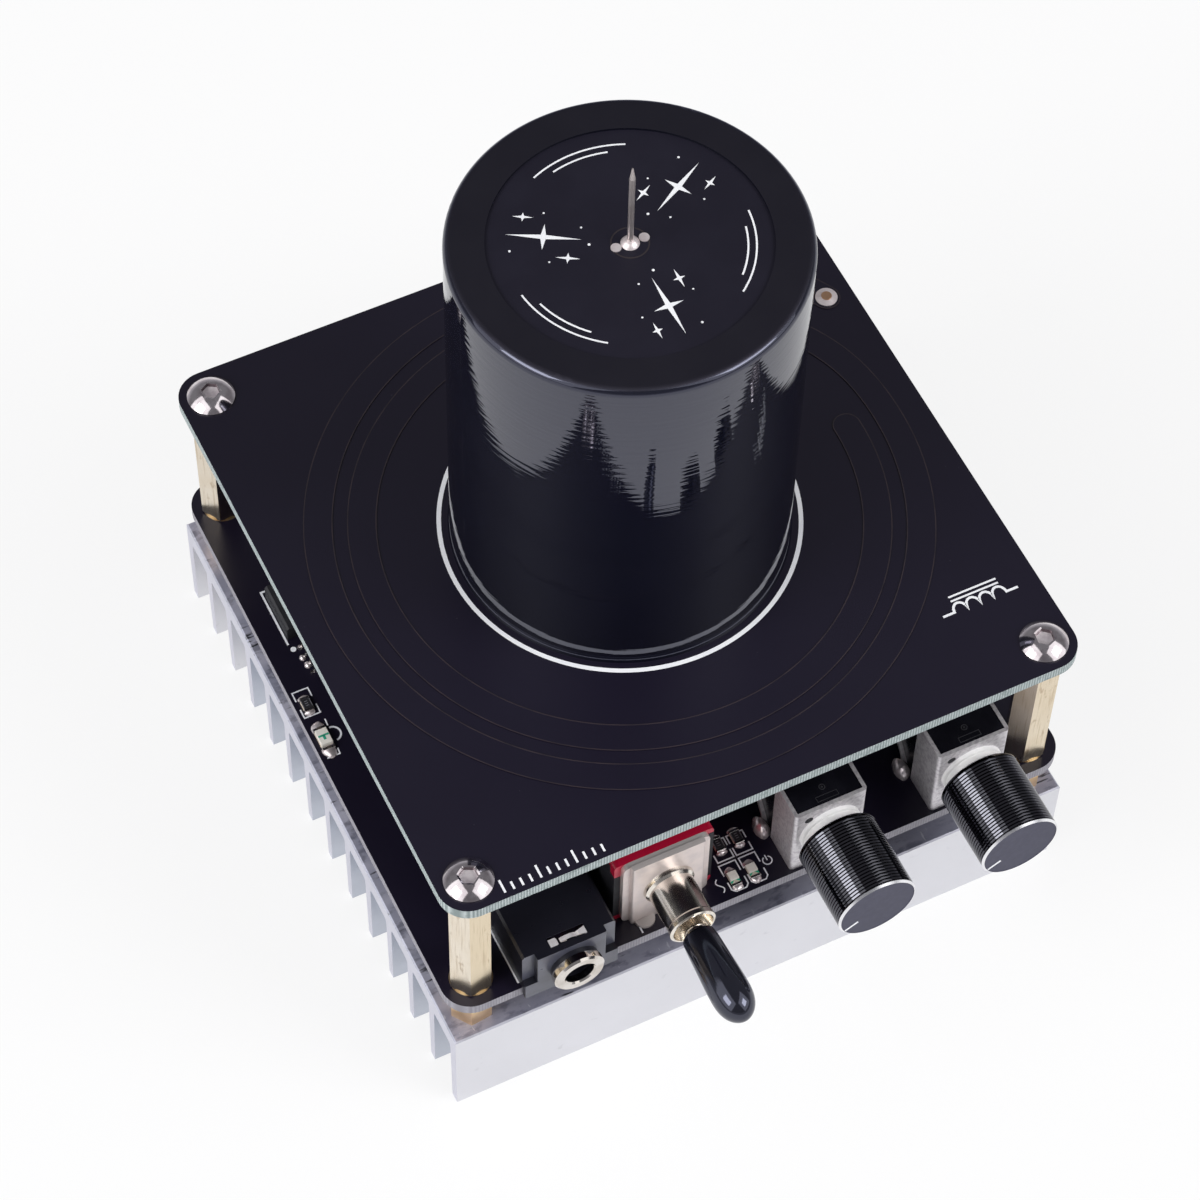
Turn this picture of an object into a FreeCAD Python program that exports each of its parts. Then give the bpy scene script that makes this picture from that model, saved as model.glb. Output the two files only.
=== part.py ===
import FreeCAD, Part
import math
import os

V = FreeCAD.Vector

# Desktop resonant transformer: a finned heat sink carries a driver board, and a second board with the
# flat primary winding and the upright secondary coil stands on it on four pillars.
# Millimetres. +Z is up and the controls face -Y. The pieces are drawn round the boards' middle, and the
# finished part is moved so that the origin is the middle of its footprint, on the plane it rests on.

# --- boards and pillars ---
BOARD_SIDE = 80.0
BOARD_CORNER_R = 3.6
BOARD_T = 1.6
HOLE_INSET = 3.8
HOLE_R = 1.65
SPACER_H = 5.4
PILLAR_H = 21.0
PILLAR_FLATS = 4.7
PILLAR_CHAMFER = 0.45
PILLAR_TURNS = (66.0, 58.0, 52.0, 61.0)
THREAD_R = 1.5
THREAD_GAP = 0.05
STUD_SPACER_L = 2.4
STUD_PILLAR_L = 5.0
SCREW_HEAD_R = 2.85
SCREW_HEAD_H = 1.65
SCREW_RIM_H = 0.2
SCREW_LENGTH = 7.0
SCREW_KEY_FLATS = 2.4
SCREW_KEY_DEPTH = 1.0
SCREW_KEY_TURN = 20.0

# --- heat sink ---
SINK_MARGIN = 0.0
SINK_H = 15.2
SINK_BASE_T = 2.8
SINK_CHAMFER = 0.2
FIN_COUNT = 14
FIN_ROOT_T = 1.5
FIN_TIP_T = 1.1
FIN_ROOT_R = 0.5

# --- flat primary winding: two turns that step outwards behind the coil ---
TRACE_T = 0.1
TRACE_W = 3.3
TRACE_EDGE_MARGIN = 4.9
TRACE_PITCH = 5.1
TRACE_START_DEG = 0.5
TRACE_STEP_FROM_DEG = 290.0
TRACE_STEP_TO_DEG = 350.0
TRACE_EXIT_FROM_DEG = 645.0
TRACE_SAMPLE_DEG = 12.0

# --- link posts between the boards ---
LINK_R = 0.65
LINK_FROM_RIGHT = 3.4
LINK_Y = 18.1
LINK_TWIN_X = 24.0
LINK_TWIN_FROM_BACK = 3.8
LINK_ABOVE = 0.45
LINK_PAD_R = 1.35
LINK_PAD_H = 0.3

# --- secondary coil ---
COIL_R = 19.85
COIL_H = 51.8
SLEEVE_T = 0.3
SLEEVE_SHOULDER_R = 0.9
SLEEVE_OPENING_R = 15.4
SLEEVE_FOOT_FLARE = 0.2
SLEEVE_FOOT_H = 0.9
WIRE_T = 0.15
WIRE_MARGIN = 3.0
FORMER_WALL = 1.5
DISC_T = 1.2
FOOT_DISC_GAP = 0.1
NEEDLE_R = 0.33
NEEDLE_H = 12.3
NEEDLE_POINT_L = 1.6
NEEDLE_POINT_R = 0.1
DOME_R = 1.05
DOME_H = 0.65
TAP_PAD_R = 0.58
TAP_PAD_X = 1.66
TAP_PAD_H = 0.12

# --- audio socket ---
JACK_FROM_LEFT = 14.6
JACK_BODY_SHIFT = 0.25
JACK_W = 11.7
JACK_DEPTH = 14.0
JACK_H = 6.9
JACK_AXIS_H = 2.85
JACK_BORE_R = 1.8
JACK_BORE_L = 13.0
JACK_NOSE_R = 3.0
JACK_NOSE_L = 0.7
JACK_RING_R = 3.15
JACK_RING_L = 1.05
JACK_RING_MOUTH = 0.2
JACK_BLOCK_W = 8.7
JACK_BLOCK_L = 0.9
JACK_APRON_ABOVE = 1.65
JACK_APRON_BELOW = 1.2
JACK_APRON_GAP = 0.05
JACK_PIN_BACK = 1.5
JACK_SIDE_PIN_BACK = 4.0
JACK_LEAF_W = 4.6
JACK_LEAF_L = 1.2
JACK_LEAF_T = 0.35

# --- toggle switch ---
TOGGLE_FROM_LEFT = 27.95
TOGGLE_W = 12.6
TOGGLE_H = 12.2
TOGGLE_DEPTH = 9.0
TOGGLE_SETBACK = 2.0
TOGGLE_PLATE_T = 0.7
TOGGLE_PLATE_W = 9.2
TOGGLE_BACK_PLATE_W = 11.0
TOGGLE_PLATE_EXTRA_H = 0.3
TOGGLE_AXIS_H = 6.3
TOGGLE_PIN_SPACING = 6.3
TOGGLE_FOOT_FROM_AXIS = 2.9
TOGGLE_FOOT_R = 1.25
TOGGLE_FOOT_T = 0.4
BUSHING_R = 2.85
BUSHING_L = 6.4
BUSHING_FLANGE_R = 3.2
BUSHING_LIP_R = 2.9
BUSHING_LIP_L = 0.7
BUSHING_MOUTH_R = 2.55
BALL_R = 1.95
BALL_GAP = 0.05
BALL_BACK = 2.0
TRUNNION_R = 0.6
TRUNNION_HALF_L = 2.3
NECK_R = 1.2
ROD_R = 1.45
CAP_FROM_BALL = 5.35
CAP_L = 12.1
CAP_REAR_R = 2.05
CAP_FRONT_R = 2.2
CAP_BORE_GAP = 0.05

# --- potentiometers and knobs ---
POT_FROM_LEFT = 47.85
POT_FROM_RIGHT = 13.55
POT_W = 9.3
POT_H = 12.1
POT_DEPTH = 9.6
POT_AXIS_H = 7.0
POT_SETBACK = 0.4
BRACKET_T = 0.45
BRACKET_BEND_R = 0.5
BRACKET_SIDE_L = 5.0
BRACKET_LEG_W = 0.6
BRACKET_LEG_FOOT = 6.2
BRACKET_LEG_TOP = 8.6
BRACKET_LEG_H = 3.2
BRACKET_KEY_HOLE_R = 0.55
BRACKET_KEY_HOLE_XH = (-2.85, 3.35)
POT_BUSHING_R = 3.85
POT_BUSHING_L = 1.5
POT_BOSS_R = 4.4
POT_BOSS_L = 0.6
POT_SHAFT_R = 3.0
POT_SHAFT_GAP = 0.05
POT_SHAFT_INSIDE = 2.0
POT_FLAT_FROM_AXIS = 1.5
POT_PIN_FROM_BACK = 1.2
KNOB_R = 4.95
KNOB_L = 10.05
KNOB_GAP = 0.35
KNOB_CHAMFER = 0.32
KNOB_FACE_SINK = 0.05
KNOB_GROOVES = 25
KNOB_GROOVE_DEPTH = 0.13
KNOB_GROOVE_SHARE = 0.6
KNOB_PLAIN_END = 0.38
KNOB_WALL_FRONT = 1.2

# --- small parts on the driver board; each place is measured from the board's left and front edges ---
CHIP_SIZE = (1.25, 2.0, 0.6)
SUPPLY_LED_SIZE = (1.6, 3.2, 0.9)
LED_PLACES = ((36.75, 2.25), (39.2, 2.25))
SUPPLY_LED_PLACE = (1.4, 39.9)
RESISTOR_PLACES = ((37.1, 7.0), (39.5, 7.0), (1.45, 45.1))
SOIC_PLACE = (6.7, 51.0)
SOIC_BODY = (3.9, 4.9, 1.45)
SOIC_STANDOFF = 0.12
SOIC_PITCH = 1.27
SOIC_SPAN = 6.0
SOIC_LEAD_W = 0.42
SOIC_LEAD_T = 0.22
DIODE_PLACE = (6.0, 58.0)
DIODE_BODY = (5.8, 6.8, 2.3)
DIODE_TAB_W = 3.0
DIODE_TAB_L = 0.6
CAP_CAN_R = 5.0
CAP_CAN_H = 16.0
CAP_CAN_FROM_RIGHT = (26.5, 13.5)
CAP_CAN_FROM_BACK = 12.0
CAP_CAN_ROLL = 0.35
FILM_X = -3.0
FILM_FROM_BACK = 10.0
FILM_BODY = (13.0, 7.0, 13.0)
FILM_CORNER_R = 1.0

# --- supply inlet at the rear ---
INLET_FROM_LEFT = 19.0
INLET_W = 9.0
INLET_DEPTH = 14.2
INLET_H = 11.0
INLET_OVERHANG = 0.6
INLET_AXIS_H = 6.5
INLET_BORE_R = 3.2
INLET_BORE_L = 9.5
INLET_PIN_R = 1.0
INLET_PIN_L = 8.5
INLET_PIN_ROOT = 1.5
INLET_TERMINALS_FROM_REAR = (0.8, 6.8)
INLET_SIDE_TERMINAL_FROM_REAR = 3.8

# --- power switches under the driver board ---
SWITCH_X = 14.0
SWITCH_CHANNEL = 8
SWITCH_W = 10.0
SWITCH_BODY_L = 9.2
SWITCH_T = 4.4
SWITCH_TAB_T = 1.3
SWITCH_TAB_L = 6.4
SWITCH_HOLE_BACK = 2.8
SWITCH_HOLE_R = 1.85
SWITCH_LEAD_R = 0.4
SWITCH_LEAD_PITCH = 2.54
SWITCH_LEAD_OUT = 2.2
PAD_T = 0.3

# --- pins through the driver board ---
PIN_PITCH = 2.5
PIN_R = 0.4
PIN_GAP = 0.1
PIN_BELOW = 1.2
SOLDER_BEAD_W = 1.9
SOLDER_BEAD_L = 3.5
SOLDER_BEAD_H = 1.1
SOLDER_BEAD_ROUND = 0.8
SOLDER_BEAD_OUT = 0.4

HALF = BOARD_SIDE / 2
Z_DRIVER = SINK_H + SPACER_H
Z_DECK = Z_DRIVER + BOARD_T
Z_PRIMARY = Z_DECK + PILLAR_H
Z_TOP = Z_PRIMARY + BOARD_T
HOLE_OFFSET = HALF - HOLE_INSET
CORNERS = [(sx * HOLE_OFFSET, sy * HOLE_OFFSET) for sx, sy in ((-1, -1), (1, -1), (1, 1), (-1, 1))]
SINK_SIDE = BOARD_SIDE + 2 * SINK_MARGIN
FIN_PITCH = (SINK_SIDE - FIN_ROOT_T) / (FIN_COUNT - 1)
FORMER_R = COIL_R - SLEEVE_T - WIRE_T
TRACE_R = HALF - TRACE_EDGE_MARGIN - TRACE_PITCH
LINK_XY = (HALF - LINK_FROM_RIGHT, LINK_Y)
LINK_TWIN_XY = (LINK_TWIN_X, HALF - LINK_TWIN_FROM_BACK)
JACK_X = JACK_FROM_LEFT - HALF
JACK_BODY_X = JACK_X - JACK_BODY_SHIFT
JACK_FACE_Y = -HALF
JACK_NOSE_Y = JACK_FACE_Y - JACK_BLOCK_L
JACK_RING_Y = JACK_NOSE_Y - JACK_NOSE_L
TOGGLE_X = TOGGLE_FROM_LEFT - HALF
TOGGLE_FACE_Y = TOGGLE_SETBACK - HALF
BALL_Y = TOGGLE_FACE_Y - BALL_BACK
TOGGLE_Z = Z_DECK + TOGGLE_AXIS_H
POT_XS = (POT_FROM_LEFT - HALF, HALF - POT_FROM_RIGHT)
POT_FACE_Y = POT_SETBACK - HALF
POT_Z = Z_DECK + POT_AXIS_H
CAP_CAN_XYS = [(HALF - x, HALF - CAP_CAN_FROM_BACK) for x in CAP_CAN_FROM_RIGHT]
FILM_XY = (FILM_X, HALF - FILM_FROM_BACK)
INLET_X = INLET_FROM_LEFT - HALF
INLET_FRONT_Y = HALF + INLET_OVERHANG
SWITCH_XS = (-SWITCH_X, SWITCH_X)
FOOTPRINT_FRONT = BALL_Y - CAP_FROM_BALL - CAP_L
FOOTPRINT_BACK = INLET_FRONT_Y


# --- general shapes ---
def box(x0, x1, y0, y1, z0, z1):
    return Part.makeBox(x1 - x0, y1 - y0, z1 - z0, V(x0, y0, z0))


def centred_box(x, y, z0, size):
    return box(x - size[0] / 2, x + size[0] / 2, y - size[1] / 2, y + size[1] / 2, z0, z0 + size[2])


def rod_z(x, y, z0, z1, r):
    return Part.makeCylinder(r, z1 - z0, V(x, y, z0))


def rod_y(x, z, y0, y1, r):
    """Round bar along Y from y0 to the larger y1."""
    return Part.makeCylinder(r, y1 - y0, V(x, y0, z), V(0, 1, 0))


def hex_bar(x, y, z0, z1, flats, turn):
    """Hexagonal bar along Z, given across its flats, with one corner towards the angle turn."""
    corner_r = flats / math.sqrt(3)
    angles = [math.radians(turn + 60 * i) for i in range(7)]
    outline = [V(x + corner_r * math.cos(a), y + corner_r * math.sin(a), z0) for a in angles]
    return Part.Face(Part.makePolygon(outline)).extrude(V(0, 0, z1 - z0))


def turned(profile, origin, axis):
    """Solid of revolution. The profile's points are (distance along axis, radius)."""
    side = V(0, 0, 1) if abs(axis.z) < 0.5 else V(1, 0, 0)
    points = [origin + axis * along + side * radius for along, radius in profile]
    face = Part.Face(Part.makePolygon(points + points[:1]))
    return face.revolve(origin, axis, 360)


def rounded_rectangle(width, depth, r, z):
    """Face of a rectangle centred on the Z axis, with round corners."""
    hx, hy = width / 2, depth / 2
    edges = []
    for sx, sy, start in ((1, 1, 0), (-1, 1, 90), (-1, -1, 180), (1, -1, 270)):
        centre = V(sx * (hx - r), sy * (hy - r), z)
        edges.append(Part.makeCircle(r, centre, V(0, 0, 1), start, start + 90))
    joined = []
    for i, arc in enumerate(edges):
        following = edges[(i + 1) % 4]
        joined.append(arc)
        joined.append(Part.makeLine(arc.Vertexes[1].Point, following.Vertexes[0].Point))
    return Part.Face(Part.Wire(Part.__sortEdges__(joined)))


def edges_along(shape, direction, test):
    """Straight edges of a shape that run along a direction and whose middle passes a test."""
    found = []
    for edge in shape.Edges:
        if len(edge.Vertexes) != 2:
            continue
        run = edge.Vertexes[1].Point - edge.Vertexes[0].Point
        if run.Length > 1e-6 and abs(run.normalize().dot(direction)) > 0.999 and test(edge.CenterOfMass):
            found.append(edge)
    return found


def cut_all(shape, tools):
    return shape.cut(Part.makeCompound(tools)) if tools else shape


# --- pins through the driver board: each place is (x, y) ---
def jack_pin_places():
    back = JACK_FACE_Y + JACK_DEPTH
    side_y = back - JACK_SIDE_PIN_BACK
    return [(JACK_X, back - JACK_PIN_BACK)] + [(JACK_BODY_X + s * JACK_W / 3, side_y) for s in (-1, 1)]


def toggle_pin_places():
    middle_y = TOGGLE_FACE_Y + 2 * TOGGLE_PLATE_T + TOGGLE_DEPTH / 2
    columns = (TOGGLE_X - TOGGLE_PIN_SPACING / 2, TOGGLE_X + TOGGLE_PIN_SPACING / 2)
    return [(x, middle_y + row * PIN_PITCH) for x in columns for row in (-1, 0, 1)]


def pot_pin_places(pot_x):
    row_y = POT_FACE_Y + BRACKET_T + POT_DEPTH - POT_PIN_FROM_BACK
    return [(pot_x + i * PIN_PITCH, row_y) for i in (-1, 0, 1)]


def inlet_pin_places():
    """Two terminals on the inlet's axis and one at its side, measured from its inner end."""
    rear = INLET_FRONT_Y - INLET_DEPTH
    side_x = INLET_X + INLET_W / 2 - 3 * PIN_R
    on_axis = [(INLET_X, rear + along) for along in INLET_TERMINALS_FROM_REAR]
    return on_axis + [(side_x, rear + INLET_SIDE_TERMINAL_FROM_REAR)]


def can_pin_places():
    return [(x + s * CAP_CAN_R / 2, y) for x, y in CAP_CAN_XYS for s in (-1, 1)]


def film_pin_places():
    return [(FILM_XY[0] + s * (FILM_BODY[0] / 2 - 1.5), FILM_XY[1]) for s in (-1, 1)]


def switch_lead_places(switch_x):
    lead_y = channel_y(SWITCH_CHANNEL) + SWITCH_HOLE_BACK - SWITCH_TAB_L - SWITCH_BODY_L - SWITCH_LEAD_OUT
    return [(switch_x + i * SWITCH_LEAD_PITCH, lead_y) for i in (-1, 0, 1)]


def all_pin_places():
    places = jack_pin_places() + toggle_pin_places() + inlet_pin_places()
    places += can_pin_places() + film_pin_places()
    for pot_x in POT_XS:
        places += pot_pin_places(pot_x)
    for switch_x in SWITCH_XS:
        places += switch_lead_places(switch_x)
    return places


def pins_down(places, z_top, r=PIN_R):
    return [rod_z(x, y, Z_DRIVER - PIN_BELOW, z_top, r) for x, y in places]


# --- heat sink ---
def channel_y(index):
    """Middle of the channel between fin number index and the next, counted from the front."""
    return -SINK_SIDE / 2 + FIN_ROOT_T / 2 + (index + 0.5) * FIN_PITCH


def heat_sink():
    half = SINK_SIDE / 2
    body = box(-half, half, -half, half, 0, SINK_H)
    rim = [e for e in body.Edges if all(abs(v.Point.z - SINK_H) < 1e-6 for v in e.Vertexes)]
    body = body.makeChamfer(SINK_CHAMFER, rim)
    root_z = SINK_H - SINK_BASE_T
    channels = []
    for index in range(FIN_COUNT - 1):
        y = channel_y(index)
        root_half = (FIN_PITCH - FIN_ROOT_T) / 2
        mouth_half = (FIN_PITCH - FIN_TIP_T) / 2
        outline = [V(-half, y - mouth_half, 0), V(-half, y - root_half, root_z),
                   V(-half, y + root_half, root_z), V(-half, y + mouth_half, 0)]
        channel = Part.Face(Part.makePolygon(outline + outline[:1])).extrude(V(SINK_SIDE, 0, 0))
        roots = edges_along(channel, V(1, 0, 0), lambda c: c.z > root_z - 1e-6)
        channels.append(channel.makeFillet(FIN_ROOT_R, roots))
    body = cut_all(body, channels)
    holes = [rod_z(x, y, root_z - 1, SINK_H + 1, THREAD_R) for x, y in CORNERS]
    holes += [rod_z(x, channel_y(SWITCH_CHANNEL), root_z - 1, SINK_H + 1, THREAD_R) for x in SWITCH_XS]
    return cut_all(body, holes)


# --- pillars, spacers and screws ---
def base_spacers():
    """Short hex spacers: a stud screws into the heat sink, the bore above takes the pillar's stud."""
    solids = []
    for (x, y), turn in zip(CORNERS, PILLAR_TURNS):
        body = hex_bar(x, y, SINK_H, Z_DRIVER, PILLAR_FLATS, turn)
        stud = rod_z(x, y, SINK_H - STUD_SPACER_L, SINK_H, THREAD_R - THREAD_GAP)
        bore = rod_z(x, y, Z_DECK - STUD_PILLAR_L - THREAD_GAP, Z_DRIVER + 1, THREAD_R)
        solids.append(body.fuse(stud).cut(bore).removeSplitter())
    return Part.makeCompound(solids)


def chamfered_hex(x, y, z0, z1, turn):
    """Hex bar whose corners are turned off to a cone at both ends."""
    inner_r = PILLAR_FLATS / 2 - 0.15
    outer_r = PILLAR_FLATS / math.sqrt(3) + 0.2
    slope = PILLAR_CHAMFER
    length = z1 - z0
    turning = [(0, 0), (0, inner_r), (slope, outer_r),
               (length - slope, outer_r), (length, inner_r), (length, 0)]
    return hex_bar(x, y, z0, z1, PILLAR_FLATS, turn).common(turned(turning, V(x, y, z0), V(0, 0, 1)))


def board_standoffs():
    solids = []
    for (x, y), turn in zip(CORNERS, PILLAR_TURNS):
        body = chamfered_hex(x, y, Z_DECK, Z_PRIMARY, turn)
        stud = rod_z(x, y, Z_DECK - STUD_PILLAR_L, Z_DECK, THREAD_R - THREAD_GAP)
        bore = rod_z(x, y, Z_TOP - SCREW_LENGTH - THREAD_GAP, Z_PRIMARY + 1, THREAD_R)
        solids.append(body.fuse(stud).cut(bore).removeSplitter())
    return Part.makeCompound(solids)


def socket_screw(x, y, z_seat, length):
    """Button head screw with a hexagonal socket, seated at z_seat."""
    top = z_seat + SCREW_HEAD_H
    rise = SCREW_HEAD_H - SCREW_RIM_H
    ball_r = (SCREW_HEAD_R ** 2 + rise ** 2) / (2 * rise)
    dome = Part.makeSphere(ball_r, V(x, y, top - ball_r))
    head = rod_z(x, y, z_seat, top, SCREW_HEAD_R).common(dome)
    shank = rod_z(x, y, z_seat - length, z_seat, THREAD_R - THREAD_GAP)
    key = hex_bar(x, y, top - SCREW_KEY_DEPTH, top + 1, SCREW_KEY_FLATS, SCREW_KEY_TURN)
    return head.fuse(shank).cut(key).removeSplitter()


def board_screws():
    return Part.makeCompound([socket_screw(x, y, Z_TOP, SCREW_LENGTH) for x, y in CORNERS])


# --- boards ---
def board(z0, holes):
    plate = rounded_rectangle(BOARD_SIDE, BOARD_SIDE, BOARD_CORNER_R, z0).extrude(V(0, 0, BOARD_T))
    return cut_all(plate, [rod_z(x, y, z0 - 1, z0 + BOARD_T + 1, r) for x, y, r in holes])


def driver_board():
    holes = [(x, y, HOLE_R) for x, y in CORNERS]
    holes += [(x, y, PIN_R + PIN_GAP) for x, y in all_pin_places()]
    return board(Z_DRIVER, holes)


def primary_board():
    holes = [(x, y, HOLE_R) for x, y in CORNERS]
    holes += [(x, y, LINK_R + PIN_GAP) for x, y in (LINK_XY, LINK_TWIN_XY)]
    holes.append((0, 0, PIN_R + PIN_GAP))
    return board(Z_PRIMARY, holes)


# --- flat primary winding ---
def blend(value, start, end):
    """0 before start, 1 after end, and a smooth step between."""
    t = min(max((value - start) / (end - start), 0), 1)
    return t * t * (3 - 2 * t)


def trace_exit():
    """How far the trace has turned when it reaches the link post, and the post's radius."""
    post_deg = math.degrees(math.atan2(LINK_XY[1], LINK_XY[0]))
    return TRACE_START_DEG - post_deg + 720, math.hypot(*LINK_XY)


def trace_radius(turned_deg):
    end_deg, end_r = trace_exit()
    step = TRACE_PITCH * blend(turned_deg, TRACE_STEP_FROM_DEG, TRACE_STEP_TO_DEG)
    exit_step = (end_r - TRACE_R - TRACE_PITCH) * blend(turned_deg, TRACE_EXIT_FROM_DEG, end_deg)
    return TRACE_R + step + exit_step


def trace_point(turned_deg, offset):
    """Point of the trace's centre line, moved sideways by offset away from the coil."""
    def centre(deg):
        a = math.radians(TRACE_START_DEG - deg)
        return V(trace_radius(deg) * math.cos(a), trace_radius(deg) * math.sin(a), Z_TOP)
    small = 0.05
    run = (centre(turned_deg + small) - centre(turned_deg - small)).normalize()
    return centre(turned_deg) + V(-run.y, run.x, 0) * offset


def primary_winding():
    end_deg, _ = trace_exit()
    count = math.ceil(end_deg / TRACE_SAMPLE_DEG)
    samples = [end_deg * i / count for i in range(count + 1)]
    sides = []
    for offset in (TRACE_W / 2, -TRACE_W / 2):
        curve = Part.BSplineCurve()
        curve.interpolate([trace_point(s, offset) for s in samples])
        sides.append(curve.toShape())
    ends = []
    for deg, ahead in ((0, -1), (end_deg, 1)):
        a, b = trace_point(deg, TRACE_W / 2), trace_point(deg, -TRACE_W / 2)
        across = (a - b).normalize()
        tip = (a + b) / 2 + V(across.y, -across.x, 0) * ahead * TRACE_W / 2
        ends.append(Part.Arc(a, tip, b).toShape())
    outline = Part.Wire(Part.__sortEdges__([sides[0], ends[1], sides[1], ends[0]]))
    ribbon = Part.Face(outline).extrude(V(0, 0, TRACE_T))
    post_hole = rod_z(*LINK_XY, Z_TOP - 1, Z_TOP + 1, LINK_R + PIN_GAP)
    return ribbon.cut(post_hole)


def link_posts():
    top = Z_TOP + LINK_ABOVE
    return Part.makeCompound([rod_z(x, y, Z_DECK, top, LINK_R) for x, y in (LINK_XY, LINK_TWIN_XY)])


def link_solder():
    """Flat solder collars round the two posts, on top of the trace or the board."""
    collars = []
    for (x, y), z in ((LINK_XY, Z_TOP + TRACE_T), (LINK_TWIN_XY, Z_TOP)):
        profile = [(0, LINK_R), (0, LINK_PAD_R), (LINK_PAD_H / 3, LINK_PAD_R), (LINK_PAD_H, LINK_R)]
        collars.append(turned(profile, V(x, y, z), V(0, 0, 1)))
    return Part.makeCompound(collars)


# --- secondary coil ---
def coil_former():
    top = Z_TOP + COIL_H - SLEEVE_T - DISC_T
    return rod_z(0, 0, Z_TOP, top, FORMER_R).cut(rod_z(0, 0, Z_TOP - 1, top + 1, FORMER_R - FORMER_WALL))


def coil_winding():
    z0, z1 = Z_TOP + WIRE_MARGIN, Z_TOP + COIL_H - WIRE_MARGIN
    return rod_z(0, 0, z0, z1, FORMER_R + WIRE_T).cut(rod_z(0, 0, z0 - 1, z1 + 1, FORMER_R))


def coil_sleeve():
    """Thin sleeve with a slightly flared foot, shrunk in over the edge of the top disc."""
    inner = COIL_R - SLEEVE_T
    shoulder = SLEEVE_SHOULDER_R
    inner_shoulder = shoulder - SLEEVE_T

    def at(r, h):
        return V(r, 0, Z_TOP + h)

    def corner(r_side, h_top, radius):
        """Quarter round between a wall at r_side and a top at h_top."""
        k = radius * (1 - math.sqrt(0.5))
        ends = at(r_side, h_top - radius), at(r_side - radius, h_top)
        return Part.Arc(ends[0], at(r_side - k, h_top - k), ends[1]).toShape()

    edges = [
        Part.makeLine(at(inner, 0), at(COIL_R + SLEEVE_FOOT_FLARE, 0)),
        Part.Arc(at(COIL_R + SLEEVE_FOOT_FLARE, 0), at(COIL_R + SLEEVE_FOOT_FLARE * 0.8, SLEEVE_FOOT_H / 2),
                 at(COIL_R, SLEEVE_FOOT_H)).toShape(),
        Part.makeLine(at(COIL_R, SLEEVE_FOOT_H), at(COIL_R, COIL_H - shoulder)),
        corner(COIL_R, COIL_H, shoulder),
        Part.makeLine(at(COIL_R - shoulder, COIL_H), at(SLEEVE_OPENING_R, COIL_H)),
        Part.makeLine(at(SLEEVE_OPENING_R, COIL_H), at(SLEEVE_OPENING_R, COIL_H - SLEEVE_T)),
        Part.makeLine(at(SLEEVE_OPENING_R, COIL_H - SLEEVE_T),
                      at(inner - inner_shoulder, COIL_H - SLEEVE_T)),
        corner(inner, COIL_H - SLEEVE_T, inner_shoulder),
        Part.makeLine(at(inner, COIL_H - SLEEVE_T - inner_shoulder), at(inner, 0)),
    ]
    return Part.Face(Part.Wire(edges)).revolve(V(0, 0, 0), V(0, 0, 1), 360)


def coil_top_disc():
    z1 = Z_TOP + COIL_H - SLEEVE_T
    disc = rod_z(0, 0, z1 - DISC_T, z1, FORMER_R - SLEEVE_SHOULDER_R + SLEEVE_T)
    return disc.cut(rod_z(0, 0, z1 - DISC_T - 1, z1 + 1, NEEDLE_R + THREAD_GAP))


def coil_foot_disc():
    """Disc that locates the foot of the former, with the pin that takes the winding's lower end."""
    disc = rod_z(0, 0, Z_TOP, Z_TOP + BOARD_T, FORMER_R - FORMER_WALL - FOOT_DISC_GAP)
    pin = rod_z(0, 0, Z_PRIMARY - PIN_BELOW, Z_TOP, PIN_R)
    return disc.fuse(pin)


def discharge_needle():
    z0 = Z_TOP + COIL_H - SLEEVE_T - DISC_T
    length = DISC_T + NEEDLE_H
    profile = [(0, 0), (0, NEEDLE_R), (length - NEEDLE_POINT_L, NEEDLE_R),
               (length, NEEDLE_POINT_R), (length, 0)]
    return turned(profile, V(0, 0, z0), V(0, 0, 1))


def top_solder():
    z = Z_TOP + COIL_H - SLEEVE_T
    ball_r = (DOME_R ** 2 + DOME_H ** 2) / (2 * DOME_H)
    ball = Part.makeSphere(ball_r, V(0, 0, z + DOME_H - ball_r))
    dome = ball.common(rod_z(0, 0, z, z + DOME_H, DOME_R + 1))
    dome = dome.cut(rod_z(0, 0, z - 1, z + DOME_H + 1, NEEDLE_R))
    pads = [rod_z(s * TAP_PAD_X, 0, z, z + TAP_PAD_H, TAP_PAD_R) for s in (-1, 1)]
    return Part.makeCompound([dome] + pads)


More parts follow.
